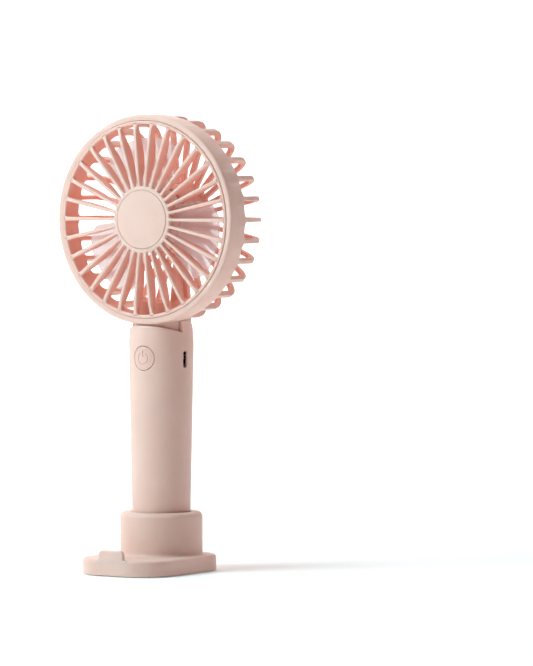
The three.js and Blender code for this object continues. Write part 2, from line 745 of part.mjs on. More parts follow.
function motorHub() {
  const sleeveOuter = SLEEVE_RADIUS + SLEEVE_WALL;
  const sleeveFront = MOTOR_FRONT + JOINT_GAP;
  const openBack = MOTOR_RADIUS - HUB_WALL;
  return turned([
    [HUB_RADIUS, BAND_BACK],
    [HUB_RADIUS, CAGE_BACK],
    [HUB_INNER_RADIUS, CAGE_BACK],
    [HUB_INNER_RADIUS, HUB_WEB_BACK],
    [openBack, HUB_WEB_BACK],
    [openBack, HUB_WEB_FRONT],
    [SLEEVE_RADIUS, HUB_WEB_FRONT],
    [SLEEVE_RADIUS, sleeveFront],
    [sleeveOuter, sleeveFront],
    [sleeveOuter, HUB_WEB_FRONT],
    [HUB_INNER_RADIUS, HUB_WEB_FRONT],
    [HUB_INNER_RADIUS, BAND_BACK],
    [HUB_RADIUS, BAND_BACK],
  ]);
}

const RETAINER_BACK = BAND_BACK + RETAINER_THICKNESS;
const RETAINER_SCREWS = 3;
const RETAINER_SCREW_RADIUS = 0.8;
const RETAINER_SCREW_HEAD = 1.4;
const RETAINER_SCREW_LENGTH = 5;
const RETAINER_SCREW_CIRCLE = (SLEEVE_RADIUS + SLEEVE_WALL + HUB_INNER_RADIUS) / 2;

// A solid cut or screw at each screw place of the motor retainer.
function atRetainerScrew(solid, index) {
  const angle = 90 + (360 / RETAINER_SCREWS) * index;
  return solid.translate([RETAINER_SCREW_CIRCLE, 0, 0]).rotate([0, -angle, 0]);
}

// The route of the motor's two wires, from the motor's back to the circuit board.
// x spreads from the middle of the channel to each wire's side.
function wireRoute(side) {
  const channel = side * 0.7;
  const boardBack = BOARD_FRONT + BOARD_THICKNESS + WIRE_RADIUS + SEAT_GAP;
  const boardZ = BOARD_TOP - 4 - HEAD_CENTRE;
  const neckZ = -HEAD_RADIUS;
  return [
    [side * 3.4, CHANNEL_Y - 0.5, -8.6],
    [side * 1.6, CHANNEL_Y, -11.6],
    [channel, CHANNEL_Y, -14.6],
    [channel, CHANNEL_Y, -20],
    [channel, CHANNEL_Y, -NECK_INNER_RADIUS + 12],
    [channel, CHANNEL_Y, -NECK_INNER_RADIUS + 5],
    [channel, CHANNEL_Y - 1.4, -NECK_INNER_RADIUS + 0.6],
    [channel, CHANNEL_Y - 4.6, neckZ + 5],
    [channel, CHANNEL_Y - 7.6, neckZ + 1],
    [side, 6.4, neckZ - 4],
    [side * 2, 3, neckZ - 9],
    [side * 3, boardBack, boardZ],
  ].map(([x, y, z]) => new THREE.Vector3(x, y, z));
}

// A round tube with closed ends along a smooth curve.
function tubeAlong(points, radius, steps) {
  const section = polygon(arc(0, 0, radius, 0, 315, 7));
  const path = new THREE.CatmullRomCurve3(points, false, "centripetal");
  return toSolid(new THREE.ExtrudeGeometry(section, { extrudePath: path, steps, bevelEnabled: false }));
}

// The channel in the spar and the neck that the wires lie in.
function wireChannel() {
  const middle = wireRoute(0).slice(2, 9);
  middle[0].z += 1.5;
  middle.push(new THREE.Vector3(0, CHANNEL_Y - 10, -HEAD_RADIUS - 2));
  return tubeAlong(middle, CHANNEL_RADIUS, 14);
}

// The neck closes the cage at the bottom and plugs into the handle.
function neck() {
  const spigotOuter = HANDLE_NECK_RADIUS - HANDLE_WALL - SLIP_GAP;
  const spigotInner = spigotOuter - SPIGOT_WALL;
  const bottom = -HEAD_RADIUS - SPIGOT_LENGTH;
  const top = -NECK_INNER_RADIUS + 3;
  const roof = -HEAD_RADIUS + 1.2;
  const block = upright([
    [0, -HEAD_RADIUS],
    [HANDLE_NECK_RADIUS, -HEAD_RADIUS],
    [HANDLE_NECK_RADIUS, top],
    [0, top],
  ]);
  const spigot = upright([[0, bottom], [spigotOuter, bottom], [spigotOuter, roof + 1.2], [0, roof + 1.2]]);
  const hollow = upright([[0, bottom - 1], [spigotInner, bottom - 1], [spigotInner, roof], [0, roof]]);
  const cavity = disc(NECK_INNER_RADIUS, RIM_FRONT - 1, CAGE_BACK + 1, HEAD_FACETS);
  const frontCavity = disc(HEAD_RADIUS - BAND_WALL, RIM_FRONT - 10, BAND_BACK, HEAD_FACETS);
  const ringSeat = disc(HEAD_RADIUS - RIM_WALL, RIM_FRONT - 10, RING_SEAT, HEAD_FACETS);
  return block
    .intersect(headEnvelope(-0.05))
    .add(spigot)
    .subtract(hollow)
    .subtract(cavity)
    .subtract(frontCavity)
    .subtract(ringSeat);
}

function headHousing() {
  const rib = radialPlate(ribOutline(RIB_DEPTH), RIB_THICKNESS);
  const ribs = [];
  for (let i = 0; i < RIB_COUNT; i += 1) {
    ribs.push(turnedTo(rib, (360 / RIB_COUNT) * i));
  }
  const spar = turnedTo(radialPlate(ribOutline(SPAR_DEPTH), SPAR_THICKNESS), 270);
  const hubCore = disc(HUB_INNER_RADIUS, HUB_WEB_BACK, CAGE_BACK + 1);
  const wiring = disc(HUB_INNER_RADIUS, RIM_FRONT, HUB_WEB_FRONT);
  let solid = join([...ribs, spar]).subtract(hubCore).subtract(wiring);
  solid = join([solid, band(), motorHub(), neck()]);
  const boss = disc(1.5, RETAINER_BACK + SEAT_GAP, HUB_WEB_FRONT + 0.5, SCREW_FACETS);
  const bore = disc(
    RETAINER_SCREW_RADIUS + SLIP_GAP,
    RETAINER_BACK - 1,
    BAND_BACK + RETAINER_SCREW_LENGTH + 1,
    SCREW_FACETS,
  );
  for (let i = 0; i < RETAINER_SCREWS; i += 1) {
    solid = solid.add(atRetainerScrew(boss, i)).subtract(atRetainerScrew(bore, i));
  }
  return solid.subtract(wireChannel());
}

// ---------------------------------------------------------------- grille

// A spoke's outline: its front bows forward from the ring to the hub, and its back bulges most
// halfway between them.
function spokeOutline() {
  const outer = GRILLE_INNER_RADIUS + 0.6;
  const inner = GRILLE_HUB_RADIUS - 0.6;
  const front = GRILLE_RING_FRONT;
  const domeFront = GRILLE_HUB_FRONT + 0.1;
  const back = [0.25, 0.5, 0.75].map((share) => {
    const bulge = Math.sin(Math.PI * share);
    const depth = THREE.MathUtils.lerp(SPOKE_END_DEPTH, SPOKE_MIDDLE_DEPTH, bulge);
    return [THREE.MathUtils.lerp(inner, outer, share), domeFront + depth];
  });
  return [
    [outer, front],
    [outer - 2.6, front - GRILLE_DOME / 2],
    [outer - 6.5, front - GRILLE_DOME * 0.85],
    [outer - 12, domeFront],
    [inner, domeFront],
    [inner, domeFront + SPOKE_END_DEPTH],
    ...back,
    [outer, front + SPOKE_END_DEPTH],
  ];
}

// Narrows a radial plate evenly from its outer end to its inner end.
function tapered(geometry, outerWidth, innerWidth) {
  const place = geometry.getAttribute("position");
  for (let i = 0; i < place.count; i += 1) {
    const span = GRILLE_INNER_RADIUS - GRILLE_HUB_RADIUS;
    const share = (place.getX(i) - GRILLE_HUB_RADIUS) / span;
    const width = THREE.MathUtils.lerp(innerWidth, outerWidth, THREE.MathUtils.clamp(share, 0, 1));
    place.setZ(i, (Math.sign(place.getZ(i)) * width) / 2);
  }
  return geometry;
}

function frontGrille() {
  const hubBack = GRILLE_HUB_FRONT + GRILLE_HUB_DEPTH;
  const recess = GRILLE_HUB_FRONT + BADGE_THICKNESS - BADGE_PROUD + SEAT_GAP;
  const rim = turned(
    [
      [GRILLE_INNER_RADIUS, GRILLE_RING_FRONT],
      [GRILLE_RADIUS - 0.4, GRILLE_RING_FRONT],
      [GRILLE_RADIUS, GRILLE_RING_FRONT + 0.4],
      [GRILLE_RADIUS, GRILLE_RING_FRONT + GRILLE_RING_DEPTH],
      [GRILLE_INNER_RADIUS, GRILLE_RING_FRONT + GRILLE_RING_DEPTH],
      [GRILLE_INNER_RADIUS, GRILLE_RING_FRONT],
    ],
    HEAD_FACETS,
  );
  const spoke = tapered(radialPlate(spokeOutline(), 1), SPOKE_OUTER_WIDTH, SPOKE_INNER_WIDTH);
  const spokes = [];
  for (let i = 0; i < RIB_COUNT; i += 1) {
    spokes.push(turnedTo(spoke, (360 / RIB_COUNT) * i));
  }
  const hub = disc(GRILLE_HUB_RADIUS, GRILLE_HUB_FRONT, hubBack);
  const seat = disc(BADGE_RADIUS + SLIP_GAP, GRILLE_HUB_FRONT - 1, recess);
  return join([rim, ...spokes, hub]).subtract(seat);
}

function grilleBadge() {
  const front = GRILLE_HUB_FRONT - BADGE_PROUD;
  return turned([
    [0, front],
    [BADGE_RADIUS - 0.5, front],
    [BADGE_RADIUS, front + 0.4],
    [BADGE_RADIUS, front + BADGE_THICKNESS],
    [0, front + BADGE_THICKNESS],
  ]);
}

// ---------------------------------------------------------------- motor

const BUSH_LENGTH = 2.2;
const BUSH_SEAT = BUSH_RADIUS + SLIP_GAP;
const NOSE_RADIUS = BUSH_SEAT + 0.6;
const NOSE_FRONT = MOTOR_FRONT - 1.4;
const END_CAP_FRONT = MOTOR_BACK - 1.4;
const BOSS_BACK = MOTOR_BACK + 0.9;
const CORE_FRONT = MOTOR_FRONT + 2.8;
const CORE_BACK = CORE_FRONT + 7.6;
const MAGNET_INNER = MOTOR_RADIUS - CAN_WALL - SLIP_GAP - MAGNET_THICKNESS;
const CORE_RADIUS = MAGNET_INNER - ROTOR_GAP;
const TIP_THICKNESS = 1.2;
const POLE_WIDTH = 2.4;
const POLE_COUNT = 3;
const CORE_HUB_RADIUS = 3;

function motorCan() {
  return turned([
    [BUSH_SEAT, NOSE_FRONT],
    [NOSE_RADIUS, NOSE_FRONT],
    [NOSE_RADIUS, MOTOR_FRONT],
    [MOTOR_RADIUS - 0.6, MOTOR_FRONT],
    [MOTOR_RADIUS, MOTOR_FRONT + 0.6],
    [MOTOR_RADIUS, MOTOR_BACK],
    [MOTOR_RADIUS - CAN_WALL, MOTOR_BACK],
    [MOTOR_RADIUS - CAN_WALL, MOTOR_FRONT + CAN_WALL],
    [BUSH_SEAT, MOTOR_FRONT + CAN_WALL],
    [BUSH_SEAT, NOSE_FRONT],
  ]);
}

function motorEndCap() {
  const radius = MOTOR_RADIUS - CAN_WALL - SLIP_GAP;
  return turned([
    [BUSH_SEAT, END_CAP_FRONT],
    [radius, END_CAP_FRONT],
    [radius, MOTOR_BACK],
    [NOSE_RADIUS + 0.3, MOTOR_BACK],
    [NOSE_RADIUS + 0.3, BOSS_BACK],
    [BUSH_SEAT, BOSS_BACK],
    [BUSH_SEAT, END_CAP_FRONT],
  ]);
}

// A sector of a ring about the Y axis, centred on an angle.
function sector(inner, outer, front, back, centre, spread) {
  const outline = polygon([
    ...arc(0, 0, outer, centre - spread, centre + spread, 8),
    ...arc(0, 0, inner, centre + spread, centre - spread, 8),
  ]);
  return extrudedAlongY(outline, front, back);
}

function magnet(centre) {
  const outer = MAGNET_INNER + MAGNET_THICKNESS;
  return sector(MAGNET_INNER, outer, CORE_FRONT - 0.8, CORE_BACK + 0.8, centre, 62);
}

function bush(front) {
  return ring(SHAFT_RADIUS + RUNNING_GAP, BUSH_RADIUS, front, front + BUSH_LENGTH, SMALL_FACETS);
}

function poleAngle(index) {
  return 90 + (360 / POLE_COUNT) * index;
}

// A box that stands on a pole's axis, from one radius to another.
function onPole(inner, outer, front, back, width, index) {
  const plate = block(outer - inner, back - front, width, (inner + outer) / 2, (front + back) / 2, 0);
  return plate.rotate([0, -poleAngle(index), 0]);
}

function armatureCore() {
  const pieces = [disc(CORE_HUB_RADIUS, CORE_FRONT, CORE_BACK, SMALL_FACETS)];
  const tipInner = CORE_RADIUS - TIP_THICKNESS;
  for (let i = 0; i < POLE_COUNT; i += 1) {
    pieces.push(onPole(0, tipInner + 0.5, CORE_FRONT, CORE_BACK, POLE_WIDTH, i));
    pieces.push(sector(tipInner, CORE_RADIUS, CORE_FRONT, CORE_BACK, poleAngle(i), 42));
  }
  const bore = disc(SHAFT_RADIUS + SEAT_GAP, CORE_FRONT - 1, CORE_BACK + 1, SMALL_FACETS);
  return join(pieces).subtract(bore);
}

// Copper wound round one pole.
function armatureCoil(index) {
  const inner = CORE_HUB_RADIUS + 0.6;
  const outer = CORE_RADIUS - TIP_THICKNESS - 0.7;
  const winding = 1.3;
  const wound = onPole(
    inner,
    outer,
    CORE_FRONT - winding,
    CORE_BACK + winding,
    POLE_WIDTH + 2 * winding,
    index,
  );
  const gap = SLIP_GAP;
  const hole = onPole(inner - 1, outer + 1, CORE_FRONT - gap, CORE_BACK + gap, POLE_WIDTH + 2 * gap, index);
  return wound.subtract(hole);
}

const COMMUTATOR_FRONT = CORE_BACK + 0.4;
const COMMUTATOR_BACK = END_CAP_FRONT - JOINT_GAP;
const COMMUTATOR_RADIUS = 2.2;
const BRUSH_THICKNESS = 0.4;
const BRUSH_DEPTH = 0.9;

function brush(side) {
  const x = side * (COMMUTATOR_RADIUS + RUNNING_GAP + BRUSH_THICKNESS / 2);
  return block(BRUSH_THICKNESS, BRUSH_DEPTH, 6.4, x, COMMUTATOR_BACK - BRUSH_DEPTH / 2 + 0.2, 0);
}

function terminal(side) {
  const length = 2.2;
  return block(1.6, length, 0.4, side * 3.4, MOTOR_BACK + SEAT_GAP + length / 2, -7.2);
}

function motorRetainer() {
  const radius = HUB_INNER_RADIUS - SLIP_GAP;
  let solid = ring(NOSE_RADIUS + JOINT_GAP, radius, BAND_BACK, RETAINER_BACK);
  const vent = disc(0.7, BAND_BACK - 1, RETAINER_BACK + 1, 6).translate([9.5, 0, 0]);
  const vents = 8;
  for (let i = 0; i < vents; i += 1) {
    solid = solid.subtract(vent.rotate([0, (360 / vents) * (i + 0.5), 0]));
  }
  const hole = disc(RETAINER_SCREW_RADIUS + SLIP_GAP, BAND_BACK - 1, RETAINER_BACK + 1, SCREW_FACETS);
  for (let i = 0; i < RETAINER_SCREWS; i += 1) {
    solid = solid.subtract(atRetainerScrew(hole, i));
  }
  return solid;
}

// A pan-head screw, its head in front of the motor retainer.
function retainerScrew() {
  const seat = BAND_BACK - SEAT_GAP;
  const front = seat - 0.7;
  const back = BAND_BACK + RETAINER_SCREW_LENGTH;
  return turned(
    [
      [0, front],
      [RETAINER_SCREW_HEAD, front],
      [RETAINER_SCREW_HEAD, seat],
      [RETAINER_SCREW_RADIUS, seat],
      [RETAINER_SCREW_RADIUS, back],
      [0, back],
    ],
    SCREW_FACETS,
  );
}

// The round cover on the back of the motor hub, notched where the wires leave.
function rearCap() {
  const radius = HUB_INNER_RADIUS - SLIP_GAP;
  const inside = CAGE_BACK - REAR_CAP_THICKNESS;
  const cap = turned([
    [0, CAGE_BACK],
    [radius - 0.5, CAGE_BACK],
    [radius, CAGE_BACK - 0.5],
    [radius, HUB_WEB_BACK + SEAT_GAP],
    [radius - 1.2, HUB_WEB_BACK + SEAT_GAP],
    [radius - 1.2, inside],
    [0, inside],
  ]);
  const notchTop = CHANNEL_Y + CHANNEL_RADIUS + JOINT_GAP;
  const notchDepth = notchTop - HUB_WEB_BACK + 1;
  return cap.subtract(block(5, notchDepth, 8, 0, notchTop - notchDepth / 2, -radius));
}

function addMotor(parts) {
  parts.add(toMesh("motor_can", motorCan(), metal(STEEL)));
  parts.add(toMesh("motor_end_cap", motorEndCap(), plastic(WHITE_NYLON)));
  parts.add(toMesh("motor_magnet_upper", magnet(90), plastic(FERRITE, 0.8)));
  parts.add(toMesh("motor_magnet_lower", magnet(270), plastic(FERRITE, 0.8)));
  parts.add(toMesh("motor_bush_front", bush(NOSE_FRONT + SEAT_GAP), metal(BRASS)));
  parts.add(toMesh("motor_bush_rear", bush(BOSS_BACK - BUSH_LENGTH), metal(BRASS)));
  parts.add(toMesh("motor_brush_left", brush(-1), metal(COPPER)));
  parts.add(toMesh("motor_brush_right", brush(1), metal(COPPER)));
  parts.add(toMesh("motor_terminal_positive", terminal(1), metal(BRASS)));
  parts.add(toMesh("motor_terminal_negative", terminal(-1), metal(BRASS)));
  parts.add(toMesh("motor_wire_red", tubeAlong(wireRoute(1), WIRE_RADIUS, 20), plastic(WIRE_RED)));
  parts.add(toMesh("motor_wire_black", tubeAlong(wireRoute(-1), WIRE_RADIUS, 20), plastic(WIRE_BLACK)));
  parts.add(toMesh("motor_retainer", motorRetainer(), plastic(PINK)));
  for (let i = 0; i < RETAINER_SCREWS; i += 1) {
    parts.add(toMesh(`retainer_screw_${i + 1}`, atRetainerScrew(retainerScrew(), i), metal(STEEL)));
  }
}

// ---------------------------------------------------------------- impeller

// A point on a blade: along is 0 at the hub and 1 at the tip, across runs from the back edge
// to the front edge, and side is the half thickness, forwards or backwards.
function bladePoint(along, across, side, centre) {
  const swing = 2 * across - 1;
  const tip = IMPELLER_RADIUS - 5 * Math.abs(swing) ** 5;
  const root = IMPELLER_HUB_RADIUS - IMPELLER_WALL / 2;
  const radius = THREE.MathUtils.lerp(root, tip, along);
  const spread = (BLADE_SPAN / 2) * (1 - 0.12 * along * along);
  const angle = degrees(centre - 5 * along + spread * swing);
  const depth = BLADE_DEPTH * (1 - 0.2 * along);
  const y = BLADE_MIDDLE - (depth * swing) / 2 + side;
  return [radius * Math.cos(angle), y, radius * Math.sin(angle)];
}

function blade(centre) {
  const rows = 5;
  const columns = 8;
  const place = [];
  const faces = [];
  for (const side of [-BLADE_THICKNESS / 2, BLADE_THICKNESS / 2]) {
    for (let i = 0; i <= rows; i += 1) {
      for (let j = 0; j <= columns; j += 1) {
        place.push(...bladePoint(i / rows, j / columns, side, centre));
      }
    }
  }
  const sheet = (rows + 1) * (columns + 1);
  const at = (i, j) => i * (columns + 1) + j;
  const quad = (a, b, c, d) => faces.push(a, b, c, a, c, d);
  for (let i = 0; i < rows; i += 1) {
    for (let j = 0; j < columns; j += 1) {
      quad(at(i, j), at(i, j + 1), at(i + 1, j + 1), at(i + 1, j));
      quad(sheet + at(i, j), sheet + at(i + 1, j), sheet + at(i + 1, j + 1), sheet + at(i, j + 1));
    }
  }
  const wall = (a, b) => quad(b, a, sheet + a, sheet + b);
  for (let j = 0; j < columns; j += 1) {
    wall(at(0, j), at(0, j + 1));
    wall(at(rows, j + 1), at(rows, j));
  }
  for (let i = 0; i < rows; i += 1) {
    wall(at(i, columns), at(i + 1, columns));
    wall(at(i + 1, 0), at(i, 0));
  }
  const geometry = new THREE.BufferGeometry();
  geometry.setAttribute("position", new THREE.Float32BufferAttribute(place, 3));
  geometry.setIndex(faces);
  return toSolid(geometry);
}

function impeller() {
  const innerRadius = IMPELLER_HUB_RADIUS - IMPELLER_WALL;
  const inside = IMPELLER_FRONT + IMPELLER_WALL;
  const bossRadius = SHAFT_RADIUS + 2;
  const bossBack = NOSE_FRONT - 1;
  const bore = SHAFT_RADIUS + SEAT_GAP;
  const boreFront = IMPELLER_FRONT + IMPELLER_WALL / 2;
  const hub = turned([
    [0, IMPELLER_FRONT],
    ...arc(IMPELLER_HUB_RADIUS - 1.2, IMPELLER_FRONT + 1.2, 1.2, -90, 0, 2),
    [IMPELLER_HUB_RADIUS, IMPELLER_BACK],
    [innerRadius, IMPELLER_BACK],
    [innerRadius, inside],
    [bossRadius, inside],
    [bossRadius, bossBack],
    [bore, bossBack],
    [bore, boreFront],
    [0, boreFront],
  ]);
  const blades = [];
  for (let i = 0; i < BLADE_COUNT; i += 1) {
    blades.push(blade(BLADE_FIRST_ANGLE - (360 / BLADE_COUNT) * i));
  }
  return join([hub, ...blades]);
}

function addRotor(parts) {
  parts.add(toMesh("impeller", impeller(), plastic(PALE_GREY, 0.3)));
  const shaft = disc(SHAFT_RADIUS, IMPELLER_FRONT + IMPELLER_WALL, BOSS_BACK, SMALL_FACETS);
  parts.add(toMesh("motor_shaft", shaft, metal(STEEL, 0.2)));
  parts.add(toMesh("armature_core", armatureCore(), metal(FERRITE, 0.6)));
  for (let i = 0; i < POLE_COUNT; i += 1) {
    parts.add(toMesh(`armature_coil_${i + 1}`, armatureCoil(i), metal(COPPER)));
  }
  const commutator = ring(
    SHAFT_RADIUS + SEAT_GAP,
    COMMUTATOR_RADIUS,
    COMMUTATOR_FRONT,
    COMMUTATOR_BACK,
    SMALL_FACETS,
  );
  parts.add(toMesh("commutator", commutator, metal(COPPER)));
}

// ---------------------------------------------------------------- assembly

const fan = new THREE.Group();
const head = new THREE.Group();
head.position.z = HEAD_CENTRE;
addStand(fan);
addHandle(fan);
head.add(toMesh("head_housing", headHousing(), plastic(PINK)));
head.add(toMesh("front_grille", frontGrille(), plastic(PINK)));
head.add(toMesh("grille_badge", grilleBadge(), plastic(PINK)));
head.add(toMesh("rear_cap", rearCap(), plastic(PINK)));
addMotor(head);
addRotor(head);
fan.add(head);

export default fan;
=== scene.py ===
"""A handheld electric fan in its desk stand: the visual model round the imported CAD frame.

Shapes are worked out in millimetres in the frame's own axes and made in metres. The head's
shapes turn about the Y axis through the head's centre, the handle's about the Z axis.
"""

import math

import bmesh
import bpy
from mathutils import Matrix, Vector


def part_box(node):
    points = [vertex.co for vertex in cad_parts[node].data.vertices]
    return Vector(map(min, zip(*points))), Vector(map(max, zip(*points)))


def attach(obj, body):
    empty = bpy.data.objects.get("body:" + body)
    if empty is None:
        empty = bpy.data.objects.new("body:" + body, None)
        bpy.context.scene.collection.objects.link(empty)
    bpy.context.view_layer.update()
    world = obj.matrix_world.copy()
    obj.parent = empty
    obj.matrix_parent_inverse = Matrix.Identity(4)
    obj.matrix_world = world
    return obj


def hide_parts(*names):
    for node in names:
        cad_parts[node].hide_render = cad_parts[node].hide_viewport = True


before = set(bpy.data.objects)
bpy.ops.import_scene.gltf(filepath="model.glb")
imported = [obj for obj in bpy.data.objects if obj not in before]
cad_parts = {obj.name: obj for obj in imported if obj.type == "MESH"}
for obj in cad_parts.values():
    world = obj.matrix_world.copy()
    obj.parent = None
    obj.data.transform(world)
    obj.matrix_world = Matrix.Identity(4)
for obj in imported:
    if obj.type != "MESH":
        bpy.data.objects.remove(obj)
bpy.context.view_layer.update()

MM = 0.001
TAU = 2 * math.pi


# ---------------------------------------------------------------- sizes from the frame


def box_mm(node):
    low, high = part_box(node)
    return low / MM, high / MM


grille_low, grille_high = box_mm("front_grille")
housing_low, housing_high = box_mm("head_housing")
badge_low, badge_high = box_mm("grille_badge")
button_low, button_high = box_mm("power_button")
sleeve_low, _ = box_mm("handle_sleeve")
plate_low, plate_high = box_mm("base_stand")
cap_low, cap_high = box_mm("handle_bottom_cap")
shell_low, shell_high = box_mm("usb_c_shell")
rear_low, rear_high = box_mm("rear_cap")

HEAD_Z = (grille_low.z + grille_high.z) / 2
HEAD_RADIUS = housing_high.x
RIM_FRONT = housing_low.y
CAGE_BACK = housing_high.y
BAND_BACK = -3
BAND_INNER = HEAD_RADIUS - 3.7
SEAT_RADIUS = HEAD_RADIUS - 2.9
CAGE_CORNER = 9
RIB_COUNT = 30
RIB_HALF = 1
RIB_DEPTH = 3
RIB_INSET = 0.6
SPAR_HALF = 3
SPAR_DEPTH = 4.1
SLOT_ROUND = 2.6

GRILLE_RADIUS = grille_high.z - HEAD_Z
GRILLE_INNER = GRILLE_RADIUS - 1.65
GRILLE_FRONT = RIM_FRONT - 0.5
RING_BACK = GRILLE_FRONT + 3.4
GRILLE_DOME = 1.5
GRILLE_HUB = 16.4
SPOKE_END_DEPTH = 2.3
SPOKE_MIDDLE_DEPTH = 6.2
GRILLE_HUB_FRONT = GRILLE_FRONT - GRILLE_DOME
BADGE_RADIUS = 14.3

HUB_RADIUS = 17
HUB_INNER = 15.6
WEB_FRONT = 13.85
WEB_BACK = 15.25
WEB_HOLE = 10.8
SLEEVE_OUTER = 13.85
SLEEVE_INNER = 12.45
SLEEVE_FRONT = -0.9
IMPELLER_HUB = 16.3
IMPELLER_RADIUS = 40
IMPELLER_FRONT = -13.2
IMPELLER_BACK = -4
BLADE_FIRST = 105
BLADE_SPAN = 78
BLADE_DEPTH = 5
BLADE_MIDDLE = -7.2

HANDLE_BOTTOM = sleeve_low.z
HEAD_BOTTOM = HEAD_Z - HEAD_RADIUS
SHOULDER_HEIGHT = 11.46
SPIGOT_LENGTH = 8
SPIGOT_OUTER = 12.85
SPIGOT_INNER = 11.05
SHOULDER = HEAD_BOTTOM - SHOULDER_HEIGHT
HANDLE_WALL = 1.8
HANDLE_FOOT = 13.87
HANDLE_TOP = 15.9
NECK_RADIUS = 14.8
BUTTON_Z = (button_low.z + button_high.z) / 2
BUTTON_RADIUS = 5.8
BUTTON_HOLE = 6.1
BUTTON_EDGE = 0.42
BUTTON_GROOVE = 4.75
FLANGE_RADIUS = 7.1
FLANGE_FRONT = -12
FLANGE_BACK = -10.4
PIN_RADIUS = 2.2
SIGN_RADIUS = 2.8
SIGN_STROKE = 0.32
SIGN_DEPTH = 0.34
PORT_Y = (shell_low.y + shell_high.y) / 2 + 0.1
PORT_Z = (shell_low.z + shell_high.z) / 2
PORT_HALF = 4.25
PORT_ROUND = 1.35

CAP_OUTER = 11.92
CAP_INNER = 9.5
CAP_FLOOR = 2

PLATE_SIDE = plate_high.x
PLATE_FRONT = plate_low.y
PLATE_BACK = plate_high.y
PLATE_CORNER = 18
PLATE_TOP = 8
PLATE_EDGE = 1.5
STAND_BOTTOM = plate_low.z
COLLAR_RADIUS = 20.2
COLLAR_TOP = plate_high.z
COLLAR_EDGE = 3.4
COLLAR_FOOT = 3.2
SOCKET_FLOOR = 9.6
LIP_WIDTH = 14.4
LIP_HEIGHT = 4.7
LIP_THICKNESS = 2


# ---------------------------------------------------------------- mesh building


def spun_y(radius, y, angle):
    """A point turned about the head's axis, angle in radians from +X towards +Z."""
    return (radius * math.cos(angle), y, HEAD_Z + radius * math.sin(angle))


def spun_z(radius, z, angle):
    return (radius * math.cos(angle), radius * math.sin(angle), z)


class Shell:
    """Points in millimetres and the faces between them."""

    def __init__(self):
        self.points = []
        self.faces = []

    def add(self, point):
        self.points.append(tuple(point))
        return len(self.points) - 1

    def row(self, points):
        return [self.add(p) for p in points]

    def strip(self, a, b, close=False):
        """Quads between two rows of the same length."""
        count = len(a)
        for i in range(count if close else count - 1):
            j = (i + 1) % count
            self.faces.append((a[i], a[j], b[j], b[i]))

    def rows(self, rows, close=False, wrap=False):
        for a, b in zip(rows, rows[1:]):
            self.strip(a, b, close)
        if wrap:
            self.strip(rows[-1], rows[0], close)

    def fan(self, centre, loop):
        for i in range(len(loop)):
            self.faces.append((centre, loop[i], loop[(i + 1) % len(loop)]))

    def lathe(self, profile, angles, place, wrap=False):
        """Turns a profile of (radius, depth). Radius 0 makes a pole."""
        loops = []
        for radius, depth in profile:
            if radius < 1e-6:
                loops.append(self.add(place(0, depth, 0)))
            else:
                loops.append(self.row(place(radius, depth, a) for a in angles))
        pairs = list(zip(loops, loops[1:])) + ([(loops[-1], loops[0])] if wrap else [])
        for a, b in pairs:
            if isinstance(a, int) and isinstance(b, int):
                continue
            if isinstance(a, int):
                self.fan(a, b)
            elif isinstance(b, int):
                self.fan(b, a[::-1])
            else:
                self.strip(a, b, close=True)


def even_angles(count):
    return [TAU * i / count for i in range(count)]


def rounded(corners, closed=False, steps=4):
    """A line through (x, y, radius) corners, each corner an arc of its radius."""
    out = []
    count = len(corners)
    for i, (x, y, radius) in enumerate(corners):
        here = Vector((x, y))
        if radius <= 0 or (not closed and i in (0, count - 1)):
            out.append((x, y))
            continue
        before = Vector(corners[i - 1][:2]) - here
        after = Vector(corners[(i + 1) % count][:2]) - here
        half = before.angle(after) / 2
        reach = min(radius / math.tan(half), before.length * 0.49, after.length * 0.49)
        fitted = reach * math.tan(half)
        before.normalize()
        after.normalize()
        centre = here + (before + after).normalized() * (fitted / math.sin(half))
        start = here + before * reach - centre
        turn = start.angle_signed(here + after * reach - centre)
        for k in range(steps + 1):
            a = -turn * k / steps
            c, s = math.cos(a), math.sin(a)
            out.append((centre.x + start.x * c - start.y * s, centre.y + start.x * s + start.y * c))
    return out


def smooth(t):
    t = min(max(t, 0), 1)
    return t * t * (3 - 2 * t)


def lerp(a, b, t):
    return a + (b - a) * t


def finish_piece(name, shell, body, nodes, material, bevel=0, segments=3, limit=35):
    """Makes the mesh object, joins its doubled points, rounds its edges and hangs it on its body."""
    mesh = bpy.data.meshes.new(name)
    mesh.from_pydata([(x * MM, y * MM, z * MM) for x, y, z in shell.points], [], shell.faces)
    work = bmesh.new()
    work.from_mesh(mesh)
    bmesh.ops.remove_doubles(work, verts=work.verts, dist=2e-6)
    bmesh.ops.dissolve_degenerate(work, edges=work.edges, dist=1e-6)
    bmesh.ops.recalc_face_normals(work, faces=work.faces)
    work.to_mesh(mesh)
    work.free()
    mesh.polygons.foreach_set("use_smooth", [True] * len(mesh.polygons))
    if not bevel:
        mesh.set_sharp_from_angle(angle=math.radians(50))
    mesh.materials.append(material)
    obj = bpy.data.objects.new(name, mesh)
    bpy.context.scene.collection.objects.link(obj)
    if bevel:
        add_bevel(obj, bevel, segments, limit)
    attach(obj, body)
    if nodes:
        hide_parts(*nodes)
    return obj


def add_bevel(obj, width, segments, limit):
    modifier = obj.modifiers.new("edge_rounding", "BEVEL")
    modifier.width = width * MM
    modifier.segments = segments
    modifier.limit_method = "ANGLE"
    modifier.angle_limit = math.radians(limit)
    modifier.harden_normals = False
    modifier.use_clamp_overlap = True


# ---------------------------------------------------------------- materials


def new_material(name):
    material = bpy.data.materials.new(name)
    material.use_nodes = True
    tree = material.node_tree
    return material, tree, tree.nodes["Principled BSDF"]


